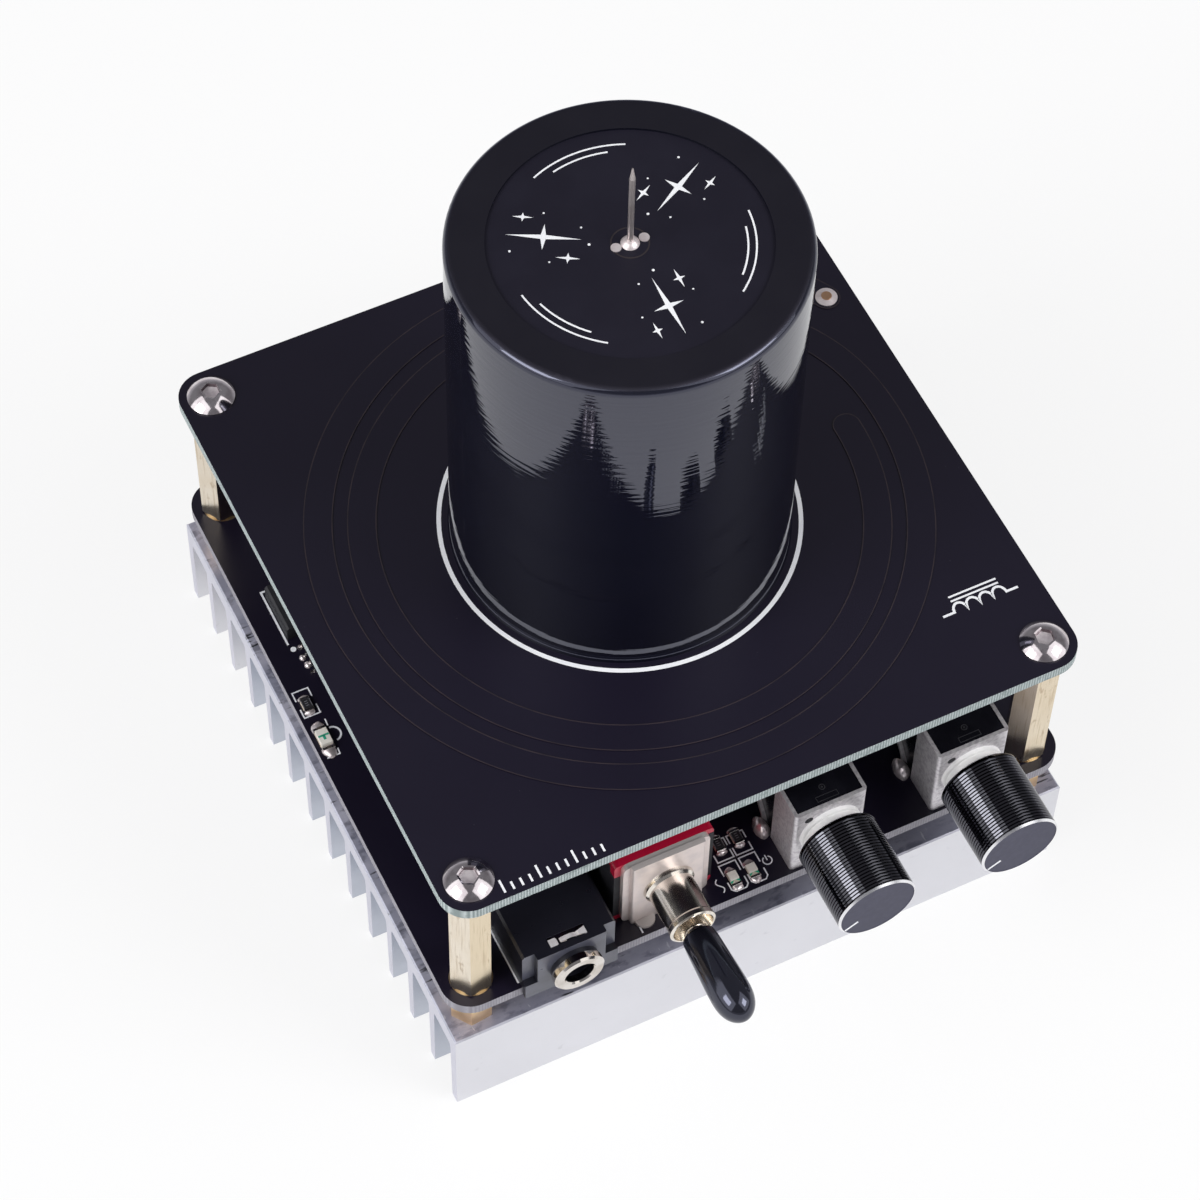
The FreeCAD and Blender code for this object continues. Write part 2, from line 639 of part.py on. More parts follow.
# --- audio socket ---
def audio_jack_body():
    """Housing with a block on its face, an apron that hangs over the board's edge, and a round nose."""
    x0, x1 = JACK_BODY_X - JACK_W / 2, JACK_BODY_X + JACK_W / 2
    z1 = Z_DECK + JACK_H
    axis_z = Z_DECK + JACK_AXIS_H
    body = box(x0, x1, JACK_FACE_Y, JACK_FACE_Y + JACK_DEPTH, Z_DECK, z1)
    sides = edges_along(body, V(0, 1, 0), lambda c: c.z > z1 - 1e-6)
    body = body.makeChamfer(0.3, sides)
    half = JACK_BLOCK_W / 2
    block = box(JACK_BODY_X - half, JACK_BODY_X + half, JACK_NOSE_Y, JACK_FACE_Y + 1, Z_DECK, z1)
    block = block.makeFillet(0.2, edges_along(block, V(0, 0, 1), lambda c: c.y < JACK_NOSE_Y + 1e-6))
    apron_top = Z_DECK + JACK_APRON_ABOVE
    apron = box(x0, x1, JACK_NOSE_Y, JACK_FACE_Y + 1, Z_DECK - JACK_APRON_BELOW, apron_top)
    board_room = box(x0 - 1, x1 + 1, -HALF - JACK_APRON_GAP, 0, Z_DRIVER - 1, Z_DECK)
    nose = rod_y(JACK_X, axis_z, JACK_RING_Y, JACK_NOSE_Y + JACK_BLOCK_L / 2, JACK_NOSE_R)
    bore = rod_y(JACK_X, axis_z, JACK_RING_Y - 1, JACK_RING_Y + JACK_BORE_L, JACK_BORE_R)
    leaf_back = JACK_FACE_Y + JACK_LEAF_L + THREAD_GAP
    leaf_seat = box(*jack_leaf_span(), JACK_FACE_Y - THREAD_GAP, leaf_back, z1 - JACK_LEAF_T, z1 + 1)
    housing = body.fuse([block, apron.cut(board_room), nose])
    return housing.cut(bore).cut(leaf_seat).removeSplitter()


def jack_leaf_span():
    return JACK_X - 0.55 * JACK_LEAF_W, JACK_X + 0.45 * JACK_LEAF_W


def audio_jack_ring():
    axis_z = Z_DECK + JACK_AXIS_H
    rim = 0.25
    mouth = JACK_RING_MOUTH
    profile = [(0, JACK_BORE_R), (0, JACK_RING_R), (JACK_RING_L - rim, JACK_RING_R),
               (JACK_RING_L, JACK_RING_R - rim), (JACK_RING_L, JACK_BORE_R + mouth),
               (JACK_RING_L - mouth, JACK_BORE_R)]
    return turned(profile, V(JACK_X, JACK_RING_Y, axis_z), V(0, -1, 0))


def audio_jack_contacts():
    """Spring leaf let into the top of the housing, and the pins under it."""
    x0, x1 = jack_leaf_span()
    z1 = Z_DECK + JACK_H
    leaf_back = JACK_FACE_Y + JACK_LEAF_L
    leaf = box(x0 + THREAD_GAP, x1 - THREAD_GAP, JACK_FACE_Y, leaf_back, z1 - JACK_LEAF_T, z1)
    notch_x = x0 + JACK_LEAF_W * 0.6
    notch = box(notch_x - 0.7, notch_x + 0.7, JACK_FACE_Y - 1, JACK_FACE_Y + JACK_LEAF_L / 2, z1 - 1, z1 + 1)
    return Part.makeCompound([leaf.cut(notch)] + pins_down(jack_pin_places(), Z_DECK))


# --- toggle switch ---
def toggle_body():
    y0 = TOGGLE_FACE_Y + 2 * TOGGLE_PLATE_T
    x0, x1 = TOGGLE_X - TOGGLE_W / 2, TOGGLE_X + TOGGLE_W / 2
    body = box(x0, x1, y0, y0 + TOGGLE_DEPTH, Z_DECK, Z_DECK + TOGGLE_H)
    rounded = edges_along(body, V(0, 1, 0), lambda c: True)
    return body.makeFillet(0.6, rounded)


def toggle_frame():
    """Two stacked plates in front of the body, pierced for the bushing, with a round foot on the board."""
    y1 = TOGGLE_FACE_Y + TOGGLE_PLATE_T
    y2 = y1 + TOGGLE_PLATE_T
    back_half = TOGGLE_BACK_PLATE_W / 2
    back = box(TOGGLE_X - back_half, TOGGLE_X + back_half, y1, y2, Z_DECK, Z_DECK + TOGGLE_H)
    back = back.makeFillet(0.9, edges_along(back, V(0, 1, 0), lambda c: True))
    half = TOGGLE_PLATE_W / 2
    front_top = Z_DECK + TOGGLE_H + TOGGLE_PLATE_EXTRA_H
    front = box(TOGGLE_X - half, TOGGLE_X + half, TOGGLE_FACE_Y, y1, Z_DECK, front_top)
    uprights = edges_along(front, V(0, 0, 1), lambda c: c.y < TOGGLE_FACE_Y + 1e-6)
    front = front.makeFillet(0.25, uprights)
    foot_x = TOGGLE_X - TOGGLE_FOOT_FROM_AXIS
    foot = rod_z(foot_x, TOGGLE_FACE_Y, Z_DECK, Z_DECK + TOGGLE_FOOT_T, TOGGLE_FOOT_R)
    foot = foot.cut(box(TOGGLE_X - TOGGLE_W, TOGGLE_X, y2, y2 + TOGGLE_FOOT_R, Z_DECK - 1, Z_DECK + 1))
    hole = rod_y(TOGGLE_X, TOGGLE_Z, TOGGLE_FACE_Y - 1, y2 + 1, BUSHING_R)
    return front.fuse([back, foot]).cut(hole).removeSplitter()


def toggle_bushing():
    """Turned bushing with a flange, a rolled lip, a flared mouth and the seats of the lever's trunnions."""
    rear = 2 * TOGGLE_PLATE_T
    bore_r = BALL_R + BALL_GAP
    flange_l = 0.45
    mouth_from = BUSHING_L - 2.4
    lip_from = BUSHING_L - BUSHING_LIP_L
    neck_r = BUSHING_R - 0.05
    outline = [(-rear, 0), (-rear, BUSHING_R), (0, BUSHING_R), (0, BUSHING_FLANGE_R),
               (flange_l, BUSHING_FLANGE_R - 0.1), (flange_l + 0.3, neck_r), (lip_from - 0.2, neck_r),
               (lip_from, BUSHING_LIP_R), (BUSHING_L - 0.15, BUSHING_LIP_R),
               (BUSHING_L, BUSHING_LIP_R - 0.15),
               (BUSHING_L, BUSHING_MOUTH_R), (mouth_from, bore_r), (-0.2, bore_r), (-0.2, 0)]
    body = turned(outline, V(TOGGLE_X, TOGGLE_FACE_Y, TOGGLE_Z), V(0, -1, 0))
    seat_half = TRUNNION_HALF_L + BALL_GAP
    seat_end = V(TOGGLE_X - seat_half, BALL_Y, TOGGLE_Z)
    seats = Part.makeCylinder(TRUNNION_R + BALL_GAP, 2 * seat_half, seat_end, V(1, 0, 0))
    return body.cut(seats)


def toggle_pins():
    return Part.makeCompound(pins_down(toggle_pin_places(), Z_DECK))


def toggle_lever():
    """Ball with two trunnions, a neck through the bushing and a thicker rod inside the cap."""
    rod_from = CAP_FROM_BALL - 0.7
    rod_to = CAP_FROM_BALL + CAP_L - 2.6
    origin = V(TOGGLE_X, BALL_Y, TOGGLE_Z)
    profile = [(0, 0), (0, NECK_R), (rod_from, NECK_R), (rod_from + 0.25, ROD_R),
               (rod_to - 0.5, ROD_R), (rod_to, ROD_R - 0.5), (rod_to, 0)]
    stem = turned(profile, origin, V(0, -1, 0))
    ball = Part.makeSphere(BALL_R, origin)
    trunnion_end = origin - V(TRUNNION_HALF_L, 0, 0)
    trunnions = Part.makeCylinder(TRUNNION_R, 2 * TRUNNION_HALF_L, trunnion_end, V(1, 0, 0))
    return stem.fuse([ball, trunnions]).removeSplitter()


def toggle_cap():
    """Soft sleeve over the lever: slightly thicker towards its round end."""
    bore_r = ROD_R + CAP_BORE_GAP
    dome_l = CAP_FRONT_R * 1.1
    bore_l = CAP_L - 2.5
    start = V(TOGGLE_X, BALL_Y - CAP_FROM_BALL, TOGGLE_Z)

    def at(along, r):
        return start + V(0, -along, r)

    dome = Part.Ellipse(at(CAP_L, 0), at(CAP_L - dome_l, CAP_FRONT_R), at(CAP_L - dome_l, 0))
    diagonal = math.sqrt(0.5)
    edges = [
        Part.makeLine(at(0, bore_r), at(0, CAP_REAR_R - 0.3)),
        Part.Arc(at(0, CAP_REAR_R - 0.3), at(0.3 * (1 - diagonal), CAP_REAR_R - 0.3 * (1 - diagonal)),
                 at(0.3, CAP_REAR_R)).toShape(),
        Part.makeLine(at(0.3, CAP_REAR_R), at(CAP_L - dome_l, CAP_FRONT_R)),
        Part.ArcOfEllipse(dome, 0, math.pi / 2).toShape(),
        Part.makeLine(at(CAP_L, 0), at(bore_l, 0)),
        Part.makeLine(at(bore_l, 0), at(bore_l, bore_r)),
        Part.makeLine(at(bore_l, bore_r), at(0, bore_r)),
    ]
    return Part.Face(Part.Wire(Part.__sortEdges__(edges))).revolve(start, V(0, 1, 0), 360)


# --- potentiometers and knobs ---
def pot_body(pot_x):
    y0 = POT_FACE_Y + BRACKET_T
    half = POT_W / 2 - BRACKET_T
    body = box(pot_x - half, pot_x + half, y0, y0 + POT_DEPTH, Z_DECK, Z_DECK + POT_H - 0.1)
    shaft_pocket = rod_y(pot_x, POT_Z, y0 - 1, y0 + POT_SHAFT_INSIDE + 0.3, POT_SHAFT_R + POT_SHAFT_GAP)
    return body.cut(shaft_pocket)


def pot_bracket(pot_x):
    """Sheet metal folded round the front and both sides of the body, with a sloping leg at each side."""
    half = POT_W / 2
    inner_half = half - BRACKET_T
    y0 = POT_FACE_Y
    y1 = y0 + BRACKET_SIDE_L
    z1 = Z_DECK + POT_H
    outer = box(pot_x - half, pot_x + half, y0, y1, Z_DECK, z1)
    outer = outer.makeFillet(BRACKET_BEND_R, edges_along(outer, V(0, 0, 1), lambda c: c.y < y0 + 1e-6))
    inner = box(pot_x - inner_half, pot_x + inner_half, y0 + BRACKET_T, y1 + 1, Z_DECK - 1, z1 + 1)
    key_x, key_z = pot_x + BRACKET_KEY_HOLE_XH[0], POT_Z + BRACKET_KEY_HOLE_XH[1]
    key_hole = rod_y(key_x, key_z, y0 - 1, y0 + 1, BRACKET_KEY_HOLE_R)
    bushing_hole = rod_y(pot_x, POT_Z, y0 - 1, y0 + 1, POT_SHAFT_R + POT_SHAFT_GAP)
    folded = outer.cut([inner, key_hole, bushing_hole])
    legs = [pot_leg(pot_x - half), pot_leg(pot_x + inner_half)]
    return Part.makeCompound([folded] + legs)


def pot_leg(x):
    """Strip flat against the side of the body, which slopes down and forward to the board."""
    foot_y, top_y = POT_FACE_Y + BRACKET_LEG_FOOT, POT_FACE_Y + BRACKET_LEG_TOP
    top_z = Z_DECK + BRACKET_LEG_H
    outline = [V(x, foot_y, Z_DECK), V(x, foot_y + BRACKET_LEG_W, Z_DECK),
               V(x, top_y + BRACKET_LEG_W, top_z), V(x, top_y, top_z)]
    return Part.Face(Part.makePolygon(outline + outline[:1])).extrude(V(BRACKET_T, 0, 0))


def pot_bushing(pot_x):
    rim = 0.3
    bore_r = POT_SHAFT_R + POT_SHAFT_GAP
    profile = [(0, bore_r), (0, POT_BOSS_R), (POT_BOSS_L, POT_BUSHING_R),
               (POT_BUSHING_L - rim, POT_BUSHING_R), (POT_BUSHING_L, POT_BUSHING_R - rim),
               (POT_BUSHING_L, bore_r)]
    return turned(profile, V(pot_x, POT_FACE_Y, POT_Z), V(0, -1, 0))


def pot_pins(pot_x):
    return Part.makeCompound(pins_down(pot_pin_places(pot_x), Z_DECK))


def knob_back_y():
    return POT_FACE_Y - POT_BUSHING_L - KNOB_GAP


def pot_shaft(pot_x):
    y1 = POT_FACE_Y + BRACKET_T + POT_SHAFT_INSIDE
    y0 = knob_back_y() - KNOB_L + KNOB_WALL_FRONT + THREAD_GAP
    shaft = rod_y(pot_x, POT_Z, y0, y1, POT_SHAFT_R)
    flat_z = POT_Z + POT_FLAT_FROM_AXIS
    x0, x1 = pot_x - POT_SHAFT_R, pot_x + POT_SHAFT_R
    flat = box(x0, x1, y0 - 1, knob_back_y() - 1, flat_z, flat_z + POT_SHAFT_R)
    return shaft.cut(flat)


def knob(pot_x):
    """Turned knob: fine grooves round it, a bright chamfer and a flat face, bored for the shaft."""
    along = [(0, 0), (0, KNOB_R - 0.15), (0.15, KNOB_R)]
    pitch = (KNOB_L - 2 * KNOB_PLAIN_END) / KNOB_GROOVES
    width = pitch * KNOB_GROOVE_SHARE
    for index in range(KNOB_GROOVES):
        middle = KNOB_PLAIN_END + (index + 0.5) * pitch
        along += [(middle - width / 2, KNOB_R), (middle, KNOB_R - KNOB_GROOVE_DEPTH)]
        along.append((middle + width / 2, KNOB_R))
    face_r = KNOB_R - KNOB_CHAMFER
    face_l = KNOB_L - KNOB_FACE_SINK
    along += [(KNOB_L - KNOB_CHAMFER, KNOB_R), (KNOB_L, face_r), (face_l, face_r - 0.05), (face_l, 0)]
    body = turned(along, V(pot_x, knob_back_y(), POT_Z), V(0, -1, 0))
    bore_r = POT_SHAFT_R + THREAD_GAP
    bore = rod_y(pot_x, POT_Z, knob_back_y() - KNOB_L + KNOB_WALL_FRONT, knob_back_y() + 1, bore_r)
    flat_z = POT_Z + POT_FLAT_FROM_AXIS + THREAD_GAP
    key = box(pot_x - bore_r, pot_x + bore_r, knob_back_y() - KNOB_L, knob_back_y() - 1 - THREAD_GAP,
              flat_z, flat_z + bore_r)
    return body.cut(bore.cut(key))


# --- small parts on the driver board ---
def from_corner(place):
    """Turn a distance from the left and front edges of the board into x and y."""
    return place[0] - HALF, place[1] - HALF


def chips(places):
    return [centred_box(*from_corner(place), Z_DECK, CHIP_SIZE) for place in places]


def status_leds():
    supply_led = centred_box(*from_corner(SUPPLY_LED_PLACE), Z_DECK, SUPPLY_LED_SIZE)
    return Part.makeCompound(chips(LED_PLACES) + [supply_led])


def chip_resistors():
    return Part.makeCompound(chips(RESISTOR_PLACES))


def driver_chip():
    x, y = from_corner(SOIC_PLACE)
    z0 = Z_DECK + SOIC_STANDOFF
    body = centred_box(x, y, z0, SOIC_BODY)
    rim = [e for e in body.Edges if all(abs(v.Point.z - z0 - SOIC_BODY[2]) < 1e-6 for v in e.Vertexes)]
    return body.makeChamfer(0.25, rim)


def gull_lead(x_inner, x_foot, y):
    """Lead that leaves the side of the chip, drops to the board and ends in a flat foot."""
    side = 1 if x_foot > x_inner else -1
    t = SOIC_LEAD_T
    z_mid = Z_DECK + SOIC_STANDOFF + SOIC_BODY[2] / 2
    knee = x_inner + side * 0.35
    y0, y1 = y - SOIC_LEAD_W / 2, y + SOIC_LEAD_W / 2
    arm = box(min(x_inner, knee), max(x_inner, knee), y0, y1, z_mid, z_mid + t)
    leg = box(min(knee, knee + side * t), max(knee, knee + side * t), y0, y1, Z_DECK, z_mid + t)
    foot = box(min(knee, x_foot), max(knee, x_foot), y0, y1, Z_DECK, Z_DECK + t)
    return arm.fuse([leg, foot]).removeSplitter()


def driver_chip_leads():
    x, y = from_corner(SOIC_PLACE)
    leads = []
    for side in (-1, 1):
        for index in range(4):
            lead_y = y + (index - 1.5) * SOIC_PITCH
            leads.append(gull_lead(x + side * SOIC_BODY[0] / 2, x + side * SOIC_SPAN / 2, lead_y))
    return Part.makeCompound(leads)


def clamp_diode():
    x, y = from_corner(DIODE_PLACE)
    body = centred_box(x, y, Z_DECK, DIODE_BODY)
    body = body.makeChamfer(0.3, edges_along(body, V(0, 1, 0), lambda c: c.z > Z_DECK + 0.1))
    tab_size = (DIODE_TAB_W, DIODE_TAB_L, 1.0)
    tab_out = (DIODE_BODY[1] + DIODE_TAB_L) / 2
    tabs = [centred_box(x, y + s * tab_out, Z_DECK, tab_size) for s in (-1, 1)]
    return Part.makeCompound([body] + tabs)


def bulk_capacitors():
    """Two aluminium cans with a rolled groove above the foot and a rounded top."""
    cans = []
    for x, y in CAP_CAN_XYS:
        roll = CAP_CAN_ROLL
        profile = [(0, 0), (0, CAP_CAN_R), (1.6, CAP_CAN_R), (2.0, CAP_CAN_R - roll),
                   (2.4, CAP_CAN_R), (CAP_CAN_H - roll, CAP_CAN_R), (CAP_CAN_H, CAP_CAN_R - roll),
                   (CAP_CAN_H, 0)]
        cans.append(turned(profile, V(x, y, Z_DECK), V(0, 0, 1)))
    return Part.makeCompound(cans + pins_down(can_pin_places(), Z_DECK))


def film_capacitor():
    body = centred_box(FILM_XY[0], FILM_XY[1], Z_DECK, FILM_BODY)
    body = body.makeFillet(FILM_CORNER_R, edges_along(body, V(0, 0, 1), lambda c: True))
    return Part.makeCompound([body] + pins_down(film_pin_places(), Z_DECK))


def solder_bead(x, y):
    """Long rounded bead of solder on the board."""
    radius = SOLDER_BEAD_W / 2
    bead = rounded_rectangle(SOLDER_BEAD_W, SOLDER_BEAD_L, radius * 0.98, 0).extrude(V(0, 0, SOLDER_BEAD_H))
    rim = [e for e in bead.Edges if all(abs(v.Point.z - SOLDER_BEAD_H) < 1e-6 for v in e.Vertexes)]
    bead = bead.makeFillet(SOLDER_BEAD_ROUND, rim)
    bead.translate(V(x, y, Z_DECK))
    return bead


def solder_joints():
    """A bead at each leg of the potentiometers, outside the leg and the body."""
    beads = []
    for pot_x in POT_XS:
        bead_y = POT_FACE_Y + BRACKET_LEG_FOOT + BRACKET_LEG_W / 2
        room = box(pot_x - POT_W / 2, pot_x + POT_W / 2, POT_FACE_Y, 0, Z_DECK - 1, Z_DECK + POT_H)
        for side in (-1, 1):
            bead_x = pot_x + side * (POT_W / 2 + SOLDER_BEAD_OUT)
            beads.append(solder_bead(bead_x, bead_y).cut(room))
    return Part.makeCompound(beads)


# --- supply inlet ---
def dc_jack_body():
    y0, y1 = INLET_FRONT_Y - INLET_DEPTH, INLET_FRONT_Y
    z1 = Z_DECK + INLET_H
    body = box(INLET_X - INLET_W / 2, INLET_X + INLET_W / 2, y0, y1, Z_DECK, z1)
    body = body.makeFillet(INLET_W * 0.3, edges_along(body, V(0, 1, 0), lambda c: c.z > z1 - 1e-6))
    axis_z = Z_DECK + INLET_AXIS_H
    bore = rod_y(INLET_X, axis_z, y1 - INLET_BORE_L, y1 + 1, INLET_BORE_R)
    pin_seat = rod_y(INLET_X, axis_z, y0 + INLET_PIN_ROOT, y1, INLET_PIN_R)
    return body.cut(bore).cut(pin_seat)


def dc_jack_contacts():
    axis_z = Z_DECK + INLET_AXIS_H
    y0 = INLET_FRONT_Y - INLET_DEPTH + INLET_PIN_ROOT
    y1 = INLET_FRONT_Y - INLET_BORE_L + INLET_PIN_L
    tip = 0.4
    profile = [(0, 0), (0, INLET_PIN_R), (y1 - y0 - tip, INLET_PIN_R),
               (y1 - y0, INLET_PIN_R - tip), (y1 - y0, 0)]
    centre_pin = turned(profile, V(INLET_X, y0, axis_z), V(0, 1, 0))
    return Part.makeCompound([centre_pin] + pins_down(inlet_pin_places(), Z_DECK))


# --- power switches, clamped flat on the heat sink ---
def switch_front_y():
    """Front edge of the plastic body, where the leads come out."""
    return channel_y(SWITCH_CHANNEL) + SWITCH_HOLE_BACK - SWITCH_TAB_L - SWITCH_BODY_L


def thermal_pads():
    y0 = switch_front_y()
    y1 = y0 + SWITCH_BODY_L + SWITCH_TAB_L
    pads = []
    for x in SWITCH_XS:
        pad = box(x - SWITCH_W / 2 - 0.5, x + SWITCH_W / 2 + 0.5, y0 - 0.5, y1 + 0.5, SINK_H, SINK_H + PAD_T)
        pads.append(pad.cut(rod_z(x, channel_y(SWITCH_CHANNEL), SINK_H - 1, SINK_H + 1, SWITCH_HOLE_R)))
    return Part.makeCompound(pads)


def mosfet_tabs():
    """Metal tab with its leads, which run forward and turn up through the driver board."""
    y0 = switch_front_y()
    tab_y1 = y0 + SWITCH_BODY_L + SWITCH_TAB_L
    z0 = SINK_H + PAD_T
    z1 = z0 + SWITCH_TAB_T
    lead_z = z0 + SWITCH_T / 2
    solids = []
    for x in SWITCH_XS:
        tab = box(x - SWITCH_W / 2, x + SWITCH_W / 2, y0 + 1, tab_y1, z0, z1)
        solids.append(tab.cut(rod_z(x, channel_y(SWITCH_CHANNEL), z0 - 1, z1 + 1, SWITCH_HOLE_R)))
        for lead_x, lead_y in switch_lead_places(x):
            out = rod_y(lead_x, lead_z, lead_y, y0, SWITCH_LEAD_R)
            knee = Part.makeSphere(SWITCH_LEAD_R, V(lead_x, lead_y, lead_z))
            up = rod_z(lead_x, lead_y, lead_z, Z_DECK + PIN_BELOW / 2, SWITCH_LEAD_R)
            solids.append(out.fuse([knee, up]).removeSplitter())
    return Part.makeCompound(solids)


def mosfet_bodies():
    y0 = switch_front_y()
    y1 = y0 + SWITCH_BODY_L
    z0 = SINK_H + PAD_T
    half = SWITCH_W / 2
    solids = []
    for x in SWITCH_XS:
        body = box(x - half, x + half, y0, y1, z0, z0 + SWITCH_T)
        tab_room = box(x - half - 1, x + half + 1, y0 + 1, y1 + 1, z0 - 1, z0 + SWITCH_TAB_T)
        solids.append(body.cut(tab_room))
    return Part.makeCompound(solids)


def mosfet_screws():
    seat = SINK_H + PAD_T + SWITCH_TAB_T
    length = SWITCH_TAB_T + PAD_T + SINK_BASE_T
    y = channel_y(SWITCH_CHANNEL)
    return Part.makeCompound([socket_screw(x, y, seat, length) for x in SWITCH_XS])


NODES = {
    "heat_sink": heat_sink,
    "base_spacers": base_spacers,
    "driver_board": driver_board,
    "board_standoffs": board_standoffs,
    "primary_board": primary_board,
    "primary_winding": primary_winding,
    "board_screws": board_screws,
    "link_posts": link_posts,
    "link_solder": link_solder,
    "coil_former": coil_former,
    "coil_winding": coil_winding,
    "coil_sleeve": coil_sleeve,
    "coil_top_disc": coil_top_disc,
    "coil_foot_disc": coil_foot_disc,
    "discharge_needle": discharge_needle,
    "top_solder": top_solder,
    "audio_jack_body": audio_jack_body,
    "audio_jack_ring": audio_jack_ring,
    "audio_jack_contacts": audio_jack_contacts,
    "toggle_body": toggle_body,
    "toggle_frame": toggle_frame,
    "toggle_bushing": toggle_bushing,
    "toggle_pins": toggle_pins,
    "toggle_lever": toggle_lever,
    "toggle_cap": toggle_cap,
    "status_leds": status_leds,
    "chip_resistors": chip_resistors,
    "driver_chip": driver_chip,
    "driver_chip_leads": driver_chip_leads,
    "clamp_diode": clamp_diode,
    "bulk_capacitors": bulk_capacitors,
    "film_capacitor": film_capacitor,
    "solder_joints": solder_joints,
    "dc_jack_body": dc_jack_body,
    "dc_jack_contacts": dc_jack_contacts,
    "thermal_pads": thermal_pads,
    "mosfet_tabs": mosfet_tabs,
    "mosfet_bodies": mosfet_bodies,
    "mosfet_screws": mosfet_screws,
}
for side, place in zip(("left", "right"), POT_XS):
    NODES[side + "_pot_body"] = lambda x=place: pot_body(x)
    NODES[side + "_pot_bracket"] = lambda x=place: pot_bracket(x)
    NODES[side + "_pot_bushing"] = lambda x=place: pot_bushing(x)
    NODES[side + "_pot_pins"] = lambda x=place: pot_pins(x)
    NODES[side + "_pot_shaft"] = lambda x=place: pot_shaft(x)
    NODES[side + "_knob"] = lambda x=place: knob(x)

os.makedirs("parts", exist_ok=True)
for name, make in NODES.items():
    shape = make()
    shape.translate(V(0, -(FOOTPRINT_FRONT + FOOTPRINT_BACK) / 2, 0))
    shape.exportStep("parts/" + name + ".step")
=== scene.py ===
import bpy, bmesh, math
from mathutils import Matrix, Vector


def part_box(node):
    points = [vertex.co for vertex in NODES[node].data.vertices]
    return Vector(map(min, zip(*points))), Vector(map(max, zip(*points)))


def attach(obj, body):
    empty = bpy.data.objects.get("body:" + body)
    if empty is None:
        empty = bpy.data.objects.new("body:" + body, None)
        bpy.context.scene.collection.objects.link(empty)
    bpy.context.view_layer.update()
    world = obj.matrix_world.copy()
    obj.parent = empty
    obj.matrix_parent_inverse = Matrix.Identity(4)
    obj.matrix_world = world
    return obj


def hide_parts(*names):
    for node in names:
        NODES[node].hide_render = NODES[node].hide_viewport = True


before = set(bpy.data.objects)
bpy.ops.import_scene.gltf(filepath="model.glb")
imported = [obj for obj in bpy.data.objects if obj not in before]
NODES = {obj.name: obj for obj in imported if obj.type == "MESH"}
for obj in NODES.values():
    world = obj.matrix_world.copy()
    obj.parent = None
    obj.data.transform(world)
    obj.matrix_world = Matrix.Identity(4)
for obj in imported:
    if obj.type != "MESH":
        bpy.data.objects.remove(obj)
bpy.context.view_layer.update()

MM = 0.001


def corners(node):
    """Lowest and highest corner of a CAD node in millimetres."""
    low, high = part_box(node)
    return Vector(low) / MM, Vector(high) / MM


AXIS_Y = sum(corner.y for corner in corners("coil_sleeve")) / 2
DECK_BOTTOM, DECK_Z = (corner.z for corner in corners("driver_board"))
BOARD_BOTTOM, TOP_Z = (corner.z for corner in corners("primary_board"))
DISC_Z = corners("coil_top_disc")[1].z
PRINT_T = 0.02
SIDES = ("left", "right")
CORNER_SIGNS = ((-1, -1), (1, -1), (1, 1), (-1, 1))


# ------------------------ camera, floor, world and lamps
def camera():
    """Long lens above the front left corner, placed by the two square boards in the photo."""
    data = bpy.data.cameras.new("camera")
    data.sensor_width = 36.0
    data.lens = 120.83
    data.clip_start = 0.01
    data.clip_end = 20.0
    right = Vector((0.8993, -0.4372, 0.0166))
    up = Vector((0.3585, 0.7581, 0.5449))
    back = right.cross(up)
    turn = Matrix((right, up, back)).transposed()
    turn = turn.to_quaternion().normalized().to_matrix().to_4x4()
    obj = bpy.data.objects.new("camera", data)
    obj.matrix_world = Matrix.Translation(Vector((-0.12302, -0.224595, 0.43221))) @ turn
    bpy.context.collection.objects.link(obj)
    bpy.context.scene.camera = obj


LAMP_TARGET = (0.0, 0.0, 0.03)


def area_lamp(name, place, size, watts):
    """Rectangular soft box that faces the middle of the object."""
    data = bpy.data.lights.new(name, "AREA")
    data.shape = "RECTANGLE"
    data.size, data.size_y = size
    data.energy = watts
    obj = bpy.data.objects.new(name, data)
    obj.location = place
    obj.rotation_euler = (Vector(LAMP_TARGET) - Vector(place)).to_track_quat("-Z", "Y").to_euler()
    bpy.context.collection.objects.link(obj)


